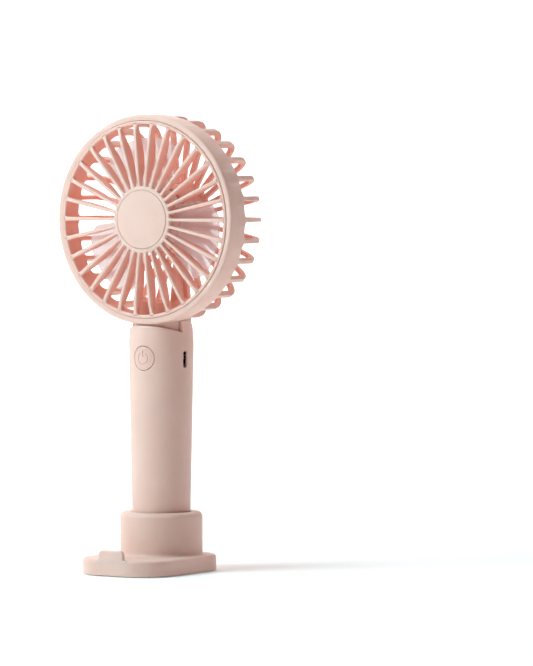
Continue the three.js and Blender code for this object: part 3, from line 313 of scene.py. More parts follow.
def noise_node(tree, coordinates, scale, detail=3, roughness=0.5):
    node = tree.nodes.new("ShaderNodeTexNoise")
    node.inputs["Scale"].default_value = scale
    node.inputs["Detail"].default_value = detail
    node.inputs["Roughness"].default_value = roughness
    tree.links.new(coordinates, node.inputs["Vector"])
    return node.outputs["Fac"]


def ramp(tree, value, low, high, start=0.35, end=0.65):
    node = tree.nodes.new("ShaderNodeMapRange")
    node.inputs["From Min"].default_value = start
    node.inputs["From Max"].default_value = end
    node.inputs["To Min"].default_value = low
    node.inputs["To Max"].default_value = high
    tree.links.new(value, node.inputs["Value"])
    return node.outputs["Result"]


def mixed(tree, factor, a, b):
    node = tree.nodes.new("ShaderNodeMix")
    node.data_type = "RGBA"
    for socket, value in ((node.inputs[6], a), (node.inputs[7], b)):
        if isinstance(value, tuple):
            socket.default_value = (*value, 1)
        else:
            tree.links.new(value, socket)
    tree.links.new(factor, node.inputs[0])
    return node.outputs[2]


def inner_shade_mask(tree, place):
    """Painted shade mask: 1 on the head's inward surfaces, which get a deeper salmon standing in for the
    shade and coloured bounce light in its hollows, 0 on its rim, its outside, its front and its back.
    """
    flat = tree.nodes.new("ShaderNodeVectorMath")
    flat.operation = "MULTIPLY"
    flat.inputs[1].default_value = (1, 0, 1)
    tree.links.new(place, flat.inputs[0])
    centre = tree.nodes.new("ShaderNodeVectorMath")
    centre.operation = "DISTANCE"
    centre.inputs[1].default_value = (0, 0, HEAD_Z * MM)
    tree.links.new(flat.outputs["Vector"], centre.inputs[0])
    depth = tree.nodes.new("ShaderNodeSeparateXYZ")
    tree.links.new(place, depth.inputs["Vector"])
    within = ramp(tree, centre.outputs["Value"], 1, 0, (SEAT_RADIUS - 0.8) * MM, (SEAT_RADIUS + 0.2) * MM)
    front = ramp(tree, depth.outputs["Y"], 0, 1, (GRILLE_FRONT - 0.6) * MM, (GRILLE_FRONT + 1.6) * MM)
    back = ramp(tree, depth.outputs["Y"], 1, 0, (CAGE_BACK - 1.2) * MM, (CAGE_BACK - 0.4) * MM)
    for factor in (front, back):
        product = tree.nodes.new("ShaderNodeMath")
        product.operation = "MULTIPLY"
        tree.links.new(within, product.inputs[0])
        tree.links.new(factor, product.inputs[1])
        within = product.outputs[0]
    return within


def moulded(
    name, dark, light, rough, grain=0.35, grain_scale=9000, wear=None, scatter=0.0, metal=0.0, inner=None,
):
    """A moulded or worked surface: slow colour drift, fine grain, uneven gloss, rubbed edges.

    wear is the colour of rubbed edges; inner is painted shade, a deeper salmon laid on the head's inward
    surfaces in place of the shade and coloured bounce light in its hollows.
    """
    material, tree, shader = new_material(name)
    place = tree.nodes.new("ShaderNodeTexCoord").outputs["Object"]
    drift = noise_node(tree, place, 38, 4, 0.55)
    colour = mixed(tree, ramp(tree, drift, 0, 1, 0.38, 0.62), dark, light)
    if wear:
        geometry = tree.nodes.new("ShaderNodeNewGeometry").outputs["Pointiness"]
        edge = ramp(tree, geometry, 0, 0.35, 0.52, 0.6)
        colour = mixed(tree, edge, colour, wear)
    # Painted shade: inside the head the colour turns a deeper salmon, standing in for the shade and coloured
    # bounce light in its hollows.
    if inner:
        colour = mixed(tree, inner_shade_mask(tree, place), colour, inner)
    tree.links.new(colour, shader.inputs["Base Color"])
    patches = noise_node(tree, place, 210, 5, 0.6)
    tree.links.new(ramp(tree, patches, rough - 0.05, rough + 0.06), shader.inputs["Roughness"])
    shader.inputs["Metallic"].default_value = metal
    if scatter:
        shader.inputs["Subsurface Weight"].default_value = scatter
        shader.inputs["Subsurface Radius"].default_value = (1.0, 0.6, 0.5)
        shader.inputs["Subsurface Scale"].default_value = 0.0012
    fine = noise_node(tree, place, grain_scale, 2, 0.5)
    bump = tree.nodes.new("ShaderNodeBump")
    bump.inputs["Strength"].default_value = grain
    bump.inputs["Distance"].default_value = 0.00003
    tree.links.new(fine, bump.inputs["Height"])
    tree.links.new(bump.outputs["Normal"], shader.inputs["Normal"])
    return material


PINK = moulded(
    "pink_plastic", (0.8, 0.505, 0.425), (0.83, 0.535, 0.455), 0.5,
    grain=0.3, grain_scale=7000, wear=(0.88, 0.7, 0.63), scatter=0.3,
)
# The same pink plastic with painted shade: a deeper salmon (0.9, 0.44, 0.34) on the head's inward surfaces.
PINK_PAINTED_SHADE = moulded(
    "pink_plastic_painted_inner_shade", (0.8, 0.505, 0.425), (0.83, 0.535, 0.455), 0.5,
    grain=0.3, grain_scale=7000, wear=(0.88, 0.7, 0.63), scatter=0.3, inner=(0.9, 0.44, 0.34),
)
HUB_PLASTIC = moulded(
    "impeller_hub_plastic", (0.84, 0.6, 0.55), (0.88, 0.66, 0.61), 0.42, grain=0.2, scatter=0.3
)
RUBBER = moulded("pad_rubber", (0.23, 0.2, 0.19), (0.27, 0.24, 0.23), 0.86, grain=0.7, grain_scale=3500)
NYLON = moulded("white_nylon", (0.74, 0.72, 0.68), (0.8, 0.78, 0.74), 0.5, scatter=0.2)
WRAP = moulded("cell_wrap", (0.04, 0.1, 0.3), (0.06, 0.14, 0.38), 0.3, grain=0.15, grain_scale=1500)
NICKEL = moulded("nickel", (0.62, 0.58, 0.5), (0.72, 0.68, 0.6), 0.26, grain=0.3, grain_scale=4000, metal=1)
LAMINATE = moulded(
    "board_laminate", (0.012, 0.1, 0.045), (0.02, 0.14, 0.06), 0.32, grain=0.4, grain_scale=2500
)
STEEL = moulded("steel", (0.45, 0.46, 0.48), (0.56, 0.57, 0.59), 0.3, grain=0.4, grain_scale=5000, metal=1)
RESIN = moulded(
    "black_resin", (0.012, 0.012, 0.013), (0.02, 0.02, 0.022), 0.42, grain=0.3, grain_scale=5000
)
FERRITE = moulded("ferrite", (0.035, 0.035, 0.038), (0.055, 0.055, 0.06), 0.7, grain=0.6, grain_scale=3000)
LAMINATION = moulded(
    "lamination", (0.2, 0.2, 0.21), (0.3, 0.3, 0.31), 0.45, grain=0.5, grain_scale=6000, metal=1
)
COPPER = moulded("copper", (0.6, 0.22, 0.1), (0.75, 0.32, 0.16), 0.3, grain=0.6, grain_scale=3500, metal=1)
BRASS = moulded("brass", (0.62, 0.42, 0.15), (0.75, 0.54, 0.22), 0.28, grain=0.3, grain_scale=4000, metal=1)
RED_WIRE = moulded("wire_red", (0.42, 0.015, 0.02), (0.52, 0.03, 0.035), 0.42, grain=0.2, grain_scale=4000)
BLACK_WIRE = moulded(
    "wire_black", (0.012, 0.012, 0.014), (0.025, 0.025, 0.027), 0.45, grain=0.2, grain_scale=4000
)


def blade_plastic():
    """Pale, half-clear plastic."""
    material, tree, shader = new_material("blade_plastic")
    place = tree.nodes.new("ShaderNodeTexCoord").outputs["Object"]
    drift = noise_node(tree, place, 45, 3, 0.5)
    colour = mixed(tree, ramp(tree, drift, 0, 1, 0.38, 0.62), (0.9, 0.78, 0.79), (0.94, 0.84, 0.85))
    tree.links.new(colour, shader.inputs["Base Color"])
    patches = noise_node(tree, place, 260, 4, 0.6)
    tree.links.new(ramp(tree, patches, 0.3, 0.42), shader.inputs["Roughness"])
    shader.inputs["Alpha"].default_value = 0.5
    fine = noise_node(tree, place, 5200, 2, 0.5)
    bump = tree.nodes.new("ShaderNodeBump")
    bump.inputs["Strength"].default_value = 0.2
    bump.inputs["Distance"].default_value = 0.00003
    tree.links.new(fine, bump.inputs["Height"])
    tree.links.new(bump.outputs["Normal"], shader.inputs["Normal"])
    return material


BLADE = blade_plastic()


# ---------------------------------------------------------------- head housing


def slot_rows():
    """The ribs' rows from the band to the hub: (outer, inner, half width), points as (radius, y)."""
    rows = []
    outer = HEAD_RADIUS - RIB_INSET
    centre_r = outer - CAGE_CORNER
    centre_y = CAGE_BACK - CAGE_CORNER
    for k in range(7):
        a = math.pi / 2 * k / 6
        y = BAND_BACK + SLOT_ROUND * (1 - math.cos(a))
        sink = smooth((y - BAND_BACK) / SLOT_ROUND)
        radius = lerp(HEAD_RADIUS, outer, sink)
        inner = lerp(BAND_INNER, outer - RIB_DEPTH, sink)
        rows.append(((radius, y), (inner, y), RIB_HALF + SLOT_ROUND * (1 - math.sin(a))))
    start = BAND_BACK + SLOT_ROUND
    for k in range(1, 5):
        y = lerp(start, centre_y, k / 5)
        rows.append(((outer, y), (outer - RIB_DEPTH, y), RIB_HALF))
    inner_corner = CAGE_CORNER - RIB_DEPTH
    for k in range(9):
        a = math.pi / 2 * k / 8
        c, s = math.cos(a), math.sin(a)
        near = (centre_r + inner_corner * c, centre_y + inner_corner * s)
        rows.append(((centre_r + CAGE_CORNER * c, centre_y + CAGE_CORNER * s), near, RIB_HALF))
    end = 17.9
    widest = end * math.sin(math.pi / RIB_COUNT)
    bend = widest - RIB_HALF
    for k in range(1, 7):
        radius = lerp(centre_r, end + bend, k / 6)
        rows.append(((radius, CAGE_BACK), (radius, CAGE_BACK - RIB_DEPTH), RIB_HALF))
    for k in range(4, -1, -1):
        a = math.pi / 2 * k / 5
        radius = end + bend * (1 - math.cos(a))
        width = RIB_HALF + bend * (1 - math.sin(a))
        rows.append(((radius, CAGE_BACK), (radius, CAGE_BACK - RIB_DEPTH), width))
    return rows, end


def housing():
    shell = Shell()
    rows, slot_end = slot_rows()
    step = TAU / RIB_COUNT
    near, far = 3, 3
    reach = rows[0][2]
    cell = [math.asin(reach * k / near / HEAD_RADIUS) for k in range(near + 1)]
    cell += [lerp(cell[-1], step / 2, k / far) for k in range(1, far + 1)]
    cell = [-a for a in cell[:0:-1]] + cell

    # The band, from the grille's seat round the rim to the slots, inside and outside.
    band_angles = [step * i + a for i in range(RIB_COUNT) for a in cell[:-1]]
    outside = rounded([
        (SEAT_RADIUS, RING_BACK, 0), (SEAT_RADIUS, RIM_FRONT, 0.25),
        (HEAD_RADIUS, RIM_FRONT, 1.1), (HEAD_RADIUS, BAND_BACK, 0),
    ], steps=5)
    inside = rounded([
        (SEAT_RADIUS, RING_BACK, 0), (BAND_INNER, RING_BACK, 0.2), (BAND_INNER, BAND_BACK, 0),
    ])
    shell.lathe(outside, band_angles, spun_y)
    shell.lathe(inside, band_angles, spun_y)

    for i in range(RIB_COUNT):
        middle = step * i
        # The band's back edge between two ribs' feet.
        for side in (-1, 1):
            angles = [middle + side * a for a in cell[len(cell) // 2 + near:]]
            shell.strip(
                shell.row(spun_y(HEAD_RADIUS, BAND_BACK, a) for a in angles),
                shell.row(spun_y(BAND_INNER, BAND_BACK, a) for a in angles),
            )
        outer_rows, inner_rows = [], []
        for (radius, y), (radius_in, y_in), half in rows:
            angles = [middle + math.asin(half * k / near / radius) for k in range(-near, near + 1)]
            outer_rows.append(shell.row(spun_y(radius, y, a) for a in angles))
            inner_rows.append(shell.row(spun_y(radius_in, y_in, a) for a in angles))
        for radius in (slot_end - 0.8, HUB_INNER):
            angles = [middle + step / 2 * k / near for k in range(-near, near + 1)]
            outer_rows.append(shell.row(spun_y(radius, CAGE_BACK, a) for a in angles))
            inner_rows.append(shell.row(spun_y(radius, CAGE_BACK - RIB_DEPTH, a) for a in angles))
        shell.rows(outer_rows)
        shell.rows(inner_rows)
        shell.strip(outer_rows[-1], inner_rows[-1])
        for column in (0, -1):
            outer_edge = [row[column] for row in outer_rows[: len(rows)]]
            inner_edge = [row[column] for row in inner_rows[: len(rows)]]
            shell.strip(outer_edge, inner_edge)

    # The spar that carries the wires, a hair below the ribs' outside.
    spar = []
    for (radius, y), (radius_in, y_in), _ in rows[:-5]:
        normal = Vector((radius - radius_in, y - y_in)).normalized()
        outer = Vector((radius, y)) - normal * 0.03
        inner = outer - normal * SPAR_DEPTH
        ends = []
        for point, side in ((outer, -1), (outer, 1), (inner, 1), (inner, -1)):
            half = side * SPAR_HALF
            ends.append((half, point.y, HEAD_Z - point.x))
        spar.append(shell.row(ends))
    end_z = HEAD_Z - HUB_RADIUS + 0.5
    end_back = CAGE_BACK - 0.03
    end_front = end_back - SPAR_DEPTH
    spar.append(shell.row([
        (-SPAR_HALF, end_back, end_z), (SPAR_HALF, end_back, end_z),
        (SPAR_HALF, end_front, end_z), (-SPAR_HALF, end_front, end_z),
    ]))
    shell.rows(spar, close=True)
    shell.faces.append(tuple(spar[0]))
    shell.faces.append(tuple(spar[-1][::-1]))

    # The motor hub: its tube, its web and the sleeve round the motor.
    inner = HUB_INNER + 0.02
    back = CAGE_BACK - 0.06
    tube = rounded([
        (HUB_RADIUS, BAND_BACK, 0.3), (HUB_RADIUS, back, 0.1), (inner, back, 0.1),
        (inner, WEB_BACK, 0), (WEB_HOLE, WEB_BACK, 0), (WEB_HOLE, WEB_FRONT, 0),
        (SLEEVE_INNER, WEB_FRONT, 0), (SLEEVE_INNER, SLEEVE_FRONT, 0.2), (SLEEVE_OUTER, SLEEVE_FRONT, 0.2),
        (SLEEVE_OUTER, WEB_FRONT, 0), (inner, WEB_FRONT, 0), (inner, BAND_BACK, 0.3),
    ], closed=True, steps=3)
    shell.lathe(tube, even_angles(144), spun_y, wrap=True)
    neck_block(shell)
    top, bottom = HEAD_BOTTOM + 2.4, HEAD_BOTTOM - SPIGOT_LENGTH
    spigot = rounded([
        (SPIGOT_OUTER, top, 0), (SPIGOT_OUTER, bottom, 0.4),
        (SPIGOT_INNER, bottom, 0.4), (SPIGOT_INNER, top, 0),
    ], closed=True, steps=3)
    shell.lathe(spigot, even_angles(96), spun_z, wrap=True)
    # The shell's inward surfaces carry painted shade: a deeper salmon in the head's hollows.
    return finish_piece(
        "housing_shell", shell, "fan_body", ["head_housing"], PINK_PAINTED_SHADE,
        bevel=0.42, segments=3,
    )


def envelope_radius(y, offset):
    """How far from the head's axis its outside lies at a depth."""
    straight = CAGE_BACK - CAGE_CORNER
    if y <= straight:
        return HEAD_RADIUS + offset
    corner = CAGE_CORNER + offset
    return HEAD_RADIUS - CAGE_CORNER + math.sqrt(max(corner * corner - (y - straight) ** 2, 0))


def neck_block(shell):
    """The solid foot of the cage behind the band, which goes on from the handle."""
    start = math.asin(BAND_BACK / NECK_RADIUS)
    arc = [lerp(start, math.pi - start, k / 60) for k in range(61)]
    edge = [(NECK_RADIUS * math.cos(a), NECK_RADIUS * math.sin(a)) for a in arc]
    left, right = edge[-1][0], edge[0][0]
    edge += [(lerp(left, right, k / 20), BAND_BACK) for k in range(1, 20)]
    middle_y = 4

    def level(x, y, inside):
        radius = 41 if inside else envelope_radius(y, -0.05)
        return HEAD_Z - math.sqrt(radius * radius - x * x)

    def ring(share, inside):
        points = [(x * share, middle_y + (y - middle_y) * share) for x, y in edge]
        return shell.row((x, y, level(x, y, inside)) for x, y in points)

    for inside in (False, True):
        loops = [ring(share, inside) for share in (1, 0.9, 0.7, 0.45, 0.2)]
        shell.rows(loops, close=True)
        shell.fan(shell.add((0, middle_y, level(0, middle_y, inside))), loops[-1])
    sides = []
    for k in range(7):
        sides.append(shell.row((x, y, lerp(level(x, y, False), level(x, y, True), k / 6)) for x, y in edge))
    shell.rows(sides, close=True)


def rear_cap():
    shell = Shell()
    radius = rear_high.z - HEAD_Z
    back = rear_high.y
    front = rear_low.y
    shell.lathe(rounded([
        (0, back, 0), (radius, back, 0.7), (radius, front, 0.1), (radius - 1.2, front, 0.1),
        (radius - 1.2, back - 1.6, 0.2), (0, back - 1.6, 0),
    ], steps=5), even_angles(128), spun_y)
    return finish_piece("hub_cover", shell, "fan_body", ["rear_cap"], PINK)


# ---------------------------------------------------------------- front grille


def spoke_section(radius):
    """The spoke's corners at a radius, as (across, y), going round."""
    inward = GRILLE_INNER - radius
    flat = 1 - math.exp(-max(inward, 0) / 3.4)
    front = GRILLE_FRONT - (GRILLE_DOME - 0.08) * flat
    share = min(max((radius - GRILLE_HUB) / (GRILLE_INNER - GRILLE_HUB), 0), 1)
    back = front + lerp(SPOKE_END_DEPTH, SPOKE_MIDDLE_DEPTH, math.sin(math.pi * share))
    half = lerp(1.3, 1.85, share) / 2
    half += 0.55 * max(0, 1 - max(inward, 0) / 1.5) ** 2
    half += 0.3 * max(0, 1 - (radius - GRILLE_HUB) / 1.6) ** 2
    return [(-half, front, 0.5), (half, front, 0.5), (half * 0.9, back, 0.3), (-half * 0.9, back, 0.3)]


def grille():
    shell = Shell()
    ring = rounded([
        (GRILLE_INNER, GRILLE_FRONT, 0.5), (GRILLE_RADIUS, GRILLE_FRONT, 0.5),
        (GRILLE_RADIUS, RING_BACK - 0.05, 0.15), (GRILLE_INNER, RING_BACK - 0.05, 0.4),
    ], closed=True, steps=5)
    shell.lathe(ring, even_angles(240), spun_y, wrap=True)
    radii = [GRILLE_INNER + 0.7, GRILLE_INNER, GRILLE_INNER - 0.4, GRILLE_INNER - 0.9, GRILLE_INNER - 1.6]
    radii += [lerp(GRILLE_INNER - 2.4, GRILLE_HUB + 2, k / 18) for k in range(19)]
    radii += [GRILLE_HUB + 1.2, GRILLE_HUB + 0.5, GRILLE_HUB, GRILLE_HUB - 0.7]
    for i in range(RIB_COUNT):
        turn = TAU * i / RIB_COUNT
        c, s = math.cos(turn), math.sin(turn)
        rows = []
        for radius in radii:
            section = rounded(spoke_section(radius), closed=True, steps=4)
            rows.append(shell.row(
                (radius * c - across * s, y, HEAD_Z + radius * s + across * c) for across, y in section
            ))
        shell.rows(rows, close=True)
    floor = GRILLE_HUB_FRONT + 1.35
    back = GRILLE_HUB_FRONT + 3.4
    shell.lathe(rounded([
        (0, floor, 0), (BADGE_RADIUS + 0.15, floor, 0.1), (BADGE_RADIUS + 0.15, GRILLE_HUB_FRONT, 0.25),
        (GRILLE_HUB, GRILLE_HUB_FRONT, 0.8), (GRILLE_HUB, back, 0.5), (0, back, 0),
    ], steps=5), even_angles(180), spun_y)
    # The spokes' sides and the hub behind the grille's front carry painted shade: a deeper salmon, while the
    # fronts stay pale.
    return finish_piece("grille", shell, "fan_body", ["front_grille"], PINK_PAINTED_SHADE)


def badge():
    shell = Shell()
    front, back = badge_low.y, badge_high.y
    shell.lathe(rounded([
        (0, front, 0), (BADGE_RADIUS, front, 0.45), (BADGE_RADIUS, back, 0.1), (0, back, 0),
    ], steps=6), even_angles(180), spun_y)
    return finish_piece("badge", shell, "fan_body", ["grille_badge"], PINK)


# ---------------------------------------------------------------- impeller


def impeller_hub():
    shell = Shell()
    inside = IMPELLER_FRONT + 1.3
    shell.lathe(rounded([
        (0, IMPELLER_FRONT, 0), (IMPELLER_HUB, IMPELLER_FRONT, 1.3), (IMPELLER_HUB, IMPELLER_BACK, 0.2),
        (IMPELLER_HUB - 1.3, IMPELLER_BACK, 0.2), (IMPELLER_HUB - 1.3, inside, 0.4), (3, inside, 0.3),
        (3, -3.6, 0.2), (1.05, -3.6, 0.1), (1.05, IMPELLER_FRONT + 0.65, 0), (0, IMPELLER_FRONT + 0.65, 0),
    ], steps=4), even_angles(120), spun_y)
    return finish_piece("impeller_hub", shell, "rotor", ["impeller"], HUB_PLASTIC)


def impeller_blades():
    shell = Shell()
    rows, columns = 14, 28
    for index in range(3):
        centre = BLADE_FIRST - 120 * index
        sheets = []
        for side in (-0.6, 0.6):
            sheet = []
            for i in range(rows + 1):
                along = i / rows
                line = []
                for j in range(columns + 1):
                    swing = 2 * j / columns - 1
                    tip = IMPELLER_RADIUS - 5 * abs(swing) ** 5
                    radius = lerp(IMPELLER_HUB - 0.65, tip, along)
                    angle = centre - 5 * along + BLADE_SPAN / 2 * (1 - 0.12 * along * along) * swing
                    y = BLADE_MIDDLE - BLADE_DEPTH * (1 - 0.2 * along) * swing / 2 + side
                    line.append(spun_y(radius, y, math.radians(angle)))
                sheet.append(shell.row(line))
            shell.rows(sheet)
            sheets.append(sheet)
        front, back = sheets
        shell.strip(front[0], back[0])
        shell.strip(front[-1], back[-1])
        for column in (0, -1):
            shell.strip([line[column] for line in front], [line[column] for line in back])
    return finish_piece("impeller_blades", shell, "rotor", [], BLADE, bevel=0.45, segments=3)


# ---------------------------------------------------------------- handle


def handle_radius(z):
    if z <= SHOULDER:
        return lerp(HANDLE_FOOT, HANDLE_TOP, (z - HANDLE_BOTTOM) / (SHOULDER - HANDLE_BOTTOM))
    rise = min((z - SHOULDER) / SHOULDER_HEIGHT, 1)
    return NECK_RADIUS + (HANDLE_TOP - NECK_RADIUS) * math.sqrt(1 - rise * rise)


COLUMNS = 192
TURN = TAU / COLUMNS
ROW_STEP = 0.6
BUTTON_COLUMN = 144
NOTCH_COLUMNS = (103, 185)
NOTCH_DROP = 0.6
NOTCH_SLOPE = 3.4 / 11.5


def saddle(angle, inset=0):
    """The height where the handle's wall meets the head's outside, less a gap of 0.3."""
    x = (NECK_RADIUS - inset) * math.cos(angle)
    y = (NECK_RADIUS - inset) * math.sin(angle)
    return HEAD_Z - math.sqrt(envelope_radius(y, 0.3) ** 2 - x * x)


def notch_floor(angle, inset=0):
    y = (NECK_RADIUS - inset) * math.sin(angle)
    return min(HEAD_BOTTOM - NOTCH_DROP - (y + NECK_RADIUS) * NOTCH_SLOPE, saddle(angle, inset))


def sleeve():
    shell = Shell()
    last = 16
    lower = BUTTON_Z - last * ROW_STEP
    heights = [lerp(HANDLE_BOTTOM, lower, k / 16) for k in range(16)]
    first = len(heights)
    heights += [BUTTON_Z + k * ROW_STEP for k in range(-last, last + 1)]
    angles = [i * TURN for i in range(COLUMNS)]
    windows = {
        "button": (range(BUTTON_COLUMN - 16, BUTTON_COLUMN + 16), range(first, first + 2 * last)),
        "port": (range(-14, 6), range(first + last - 12, first + last + 10)),
    }
    cut = {(c % COLUMNS, r) for columns, lines in windows.values() for c in columns for r in lines}
    grid = [shell.row(spun_z(handle_radius(z), z, a) for a in angles) for z in heights]
    for r in range(len(heights) - 1):
        for c in range(COLUMNS):
            if (c, r) not in cut:
                d = (c + 1) % COLUMNS
                shell.faces.append((grid[r][c], grid[r][d], grid[r + 1][d], grid[r + 1][c]))

    # The top: up to the notch's floor all the way round, then on to the head behind the notch.
    base = heights[-1]
    low, high = NOTCH_COLUMNS
    back = [c % COLUMNS for c in range(high, low + COLUMNS + 1)]
    shelf = notch_floor(high * TURN)
    floors = [shelf if c in back else notch_floor(c * TURN) for c in range(COLUMNS)]
    previous = grid[-1]
    for k in range(1, 7):
        row = shell.row(
            spun_z(handle_radius(lerp(base, f, k / 6)), lerp(base, f, k / 6), a)
            for f, a in zip(floors, angles)
        )
        shell.strip(previous, row, close=True)
        previous = row
    front = list(range(low, high + 1))
    rim = shell.row(
        spun_z(handle_radius(floors[c]) - HANDLE_WALL, notch_floor(c * TURN, HANDLE_WALL), c * TURN)
        for c in front
    )
    shell.strip([previous[c] for c in front], rim)
    column = [previous[c] for c in back]
    edges = {c: [previous[c]] for c in (low, high)}
    for k in range(1, 7):
        row = []
        for c in back:
            z = lerp(shelf, saddle(c * TURN), k / 6)
            row.append(shell.add(spun_z(handle_radius(z), z, c * TURN)))
        shell.strip(column, row)
        column = row
        edges[high].append(row[0])
        edges[low].append(row[-1])
    top_rim = shell.row(
        spun_z(NECK_RADIUS - HANDLE_WALL, saddle(c * TURN, HANDLE_WALL), c * TURN) for c in back
    )
    shell.strip(column, top_rim)
    for c, edge in edges.items():
        inner = [shell.add(spun_z(NECK_RADIUS - HANDLE_WALL, shell.points[e][2], c * TURN)) for e in edge]
        shell.strip(edge, inner)

    # The foot of the wall.
    foot = shell.row(spun_z(HANDLE_FOOT - HANDLE_WALL, HANDLE_BOTTOM, a) for a in angles)
    shell.strip(grid[0], foot, close=True)
    bore = shell.row(spun_z(HANDLE_FOOT - HANDLE_WALL + 0.06, HANDLE_BOTTOM + 3, a) for a in angles)
    shell.strip(foot, bore, close=True)

    for name, (columns, lines) in windows.items():
        border = [(c, lines[0]) for c in columns] + [(columns[-1] + 1, r) for r in lines]
        border += [(c, lines[-1] + 1) for c in range(columns[-1] + 1, columns[0], -1)]
        border += [(columns[0], r) for r in range(lines[-1] + 1, lines[0], -1)]
        outer = [grid[r][c % COLUMNS] for c, r in border]
        places = [(c * TURN, heights[r]) for c, r in border]
        targets = button_edge(places) if name == "button" else port_edge(places)
        loops = [outer]
        for k in range(1, 7):
            t = (k / 6) ** 0.8
            loops.append(shell.row(
                spun_z(handle_radius(lerp(z, tz, t)), lerp(z, tz, t), lerp(a, ta, t))
                for (a, z), (ta, tz) in zip(places, targets)
            ))
        shell.rows(loops, close=True)
        wall = []
        for e in loops[-1]:
            x, y, z = shell.points[e]
            depth = handle_radius(z) - HANDLE_WALL
            if name == "button":
                wall.append(shell.add((x, -math.sqrt(depth * depth - x * x), z)))
            else:
                wall.append(shell.add((math.sqrt((depth + 1.0) ** 2 - y * y), y, z)))
        shell.strip(loops[-1], wall, close=True)
    return finish_piece(
        "handle_shell", shell, "fan_body", ["handle_sleeve"], PINK,
        bevel=0.22, segments=3, limit=45,
    )


def button_edge(places):
    """The button hole's edge opposite each place, as (angle, height)."""
    out = []
    for angle, z in places:
        across = handle_radius(z) * math.sin(angle - BUTTON_COLUMN * TURN)
        turn = math.atan2(z - BUTTON_Z, across)
        height = BUTTON_Z + BUTTON_HOLE * math.sin(turn)
        angle = math.asin(BUTTON_HOLE * math.cos(turn) / handle_radius(height))
        out.append((BUTTON_COLUMN * TURN + angle, height))
    return out


def port_edge(places):
    """The charging slot's edge opposite each place, evenly spaced round it."""
    straight = 2 * (PORT_HALF - PORT_ROUND)
    bend = math.pi * PORT_ROUND
    total = 2 * (straight + bend)
    count = len(places)
    below = sum(z == places[0][1] for _, z in places) - 1
    offset = 2 * straight + 1.5 * bend - total * below / count / 2
    out = []
    for k in range(count):
        run = (total * k / count + offset) % total
        if run < straight:
            y, z = PORT_ROUND, -straight / 2 + run
        elif run < straight + bend:
            a = (run - straight) / PORT_ROUND
            y, z = PORT_ROUND * math.cos(a), straight / 2 + PORT_ROUND * math.sin(a)
        elif run < 2 * straight + bend:
            y, z = -PORT_ROUND, straight / 2 - (run - straight - bend)
        else:
            a = math.pi + (run - 2 * straight - bend) / PORT_ROUND
            y, z = PORT_ROUND * math.cos(a), -straight / 2 + PORT_ROUND * math.sin(a)
        height = PORT_Z + z
        out.append((math.asin((PORT_Y + y) / handle_radius(height)), height))
    return out


def stroke(distance, half, soft=0.16):
    """1 on a line of that half width and 0 off it, with soft sides."""
    return 1 - smooth((distance - half) / soft + 0.5)


def power_sign(x, z):
    """How deep the power sign is at a place on the button, from 0 to 1."""
    radius = math.hypot(x, z)
    angle = abs(math.atan2(x, z))
    gap = math.radians(34)
    if angle > gap:
        arc = abs(radius - SIGN_RADIUS)
    else:
        arc = math.hypot(abs(x) - SIGN_RADIUS * math.sin(gap), z - SIGN_RADIUS * math.cos(gap))
    bar = math.hypot(x, z - min(max(z, 0.9), SIGN_RADIUS + 0.7))
    return max(stroke(arc, SIGN_STROKE), stroke(bar, SIGN_STROKE))


def button():
    shell = Shell()
    count = 144
    radii = [0.12 * k for k in range(1, 44)] + [5.3, 5.45, 5.6, 5.7, 5.77, 5.8]

    def face(radius, angle):
        x, dz = radius * math.cos(angle), radius * math.sin(angle)
        z = BUTTON_Z + dz
        surface = handle_radius(z) + 0.1
        outward = max(radius - (BUTTON_RADIUS - BUTTON_EDGE), 0)
        sink = BUTTON_EDGE - math.sqrt(max(BUTTON_EDGE ** 2 - outward ** 2, 0))
        sink += SIGN_DEPTH * power_sign(x, dz)
        sink += 0.16 * stroke(abs(radius - BUTTON_GROOVE), 0.12)
        return (x, -math.sqrt(surface * surface - x * x) + sink, z)

    loops = [shell.row(face(r, a) for a in even_angles(count)) for r in radii]
    shell.fan(shell.add(face(0, 0)), loops[0])
    shell.rows(loops, close=True)
    back = button_high.y
    skirt = [shell.points[i] for i in loops[-1]]
    inner = shell.row((x, -13.2, z) for x, y, z in skirt)
    shell.strip(loops[-1], inner, close=True)
    rows = [inner]
    behind = [
        (BUTTON_RADIUS, FLANGE_FRONT), (FLANGE_RADIUS, FLANGE_FRONT), (FLANGE_RADIUS, FLANGE_BACK),
        (PIN_RADIUS, FLANGE_BACK), (PIN_RADIUS, back),
    ]
    for radius, y in behind:
        rows.append(shell.row(
            (radius * math.cos(a), y, BUTTON_Z + radius * math.sin(a)) for a in even_angles(count)
        ))
    shell.rows(rows, close=True)
    shell.fan(shell.add((0, back, BUTTON_Z)), rows[-1])
    return finish_piece("button_cap", shell, "button", ["power_button"], PINK)


def bottom_cap():
    shell = Shell()
    low, high = cap_low.z, cap_high.z
    floor = low + CAP_FLOOR
    shell.lathe(rounded([
        (0, low, 0), (CAP_OUTER, low, 0.3), (CAP_OUTER, high, 0.2),
        (CAP_INNER, high, 0.2), (CAP_INNER, floor, 0.2), (0, floor, 0),
    ]), even_angles(96), spun_z)
    return finish_piece("handle_plug", shell, "fan_body", ["handle_bottom_cap"], PINK)


# ---------------------------------------------------------------- stand


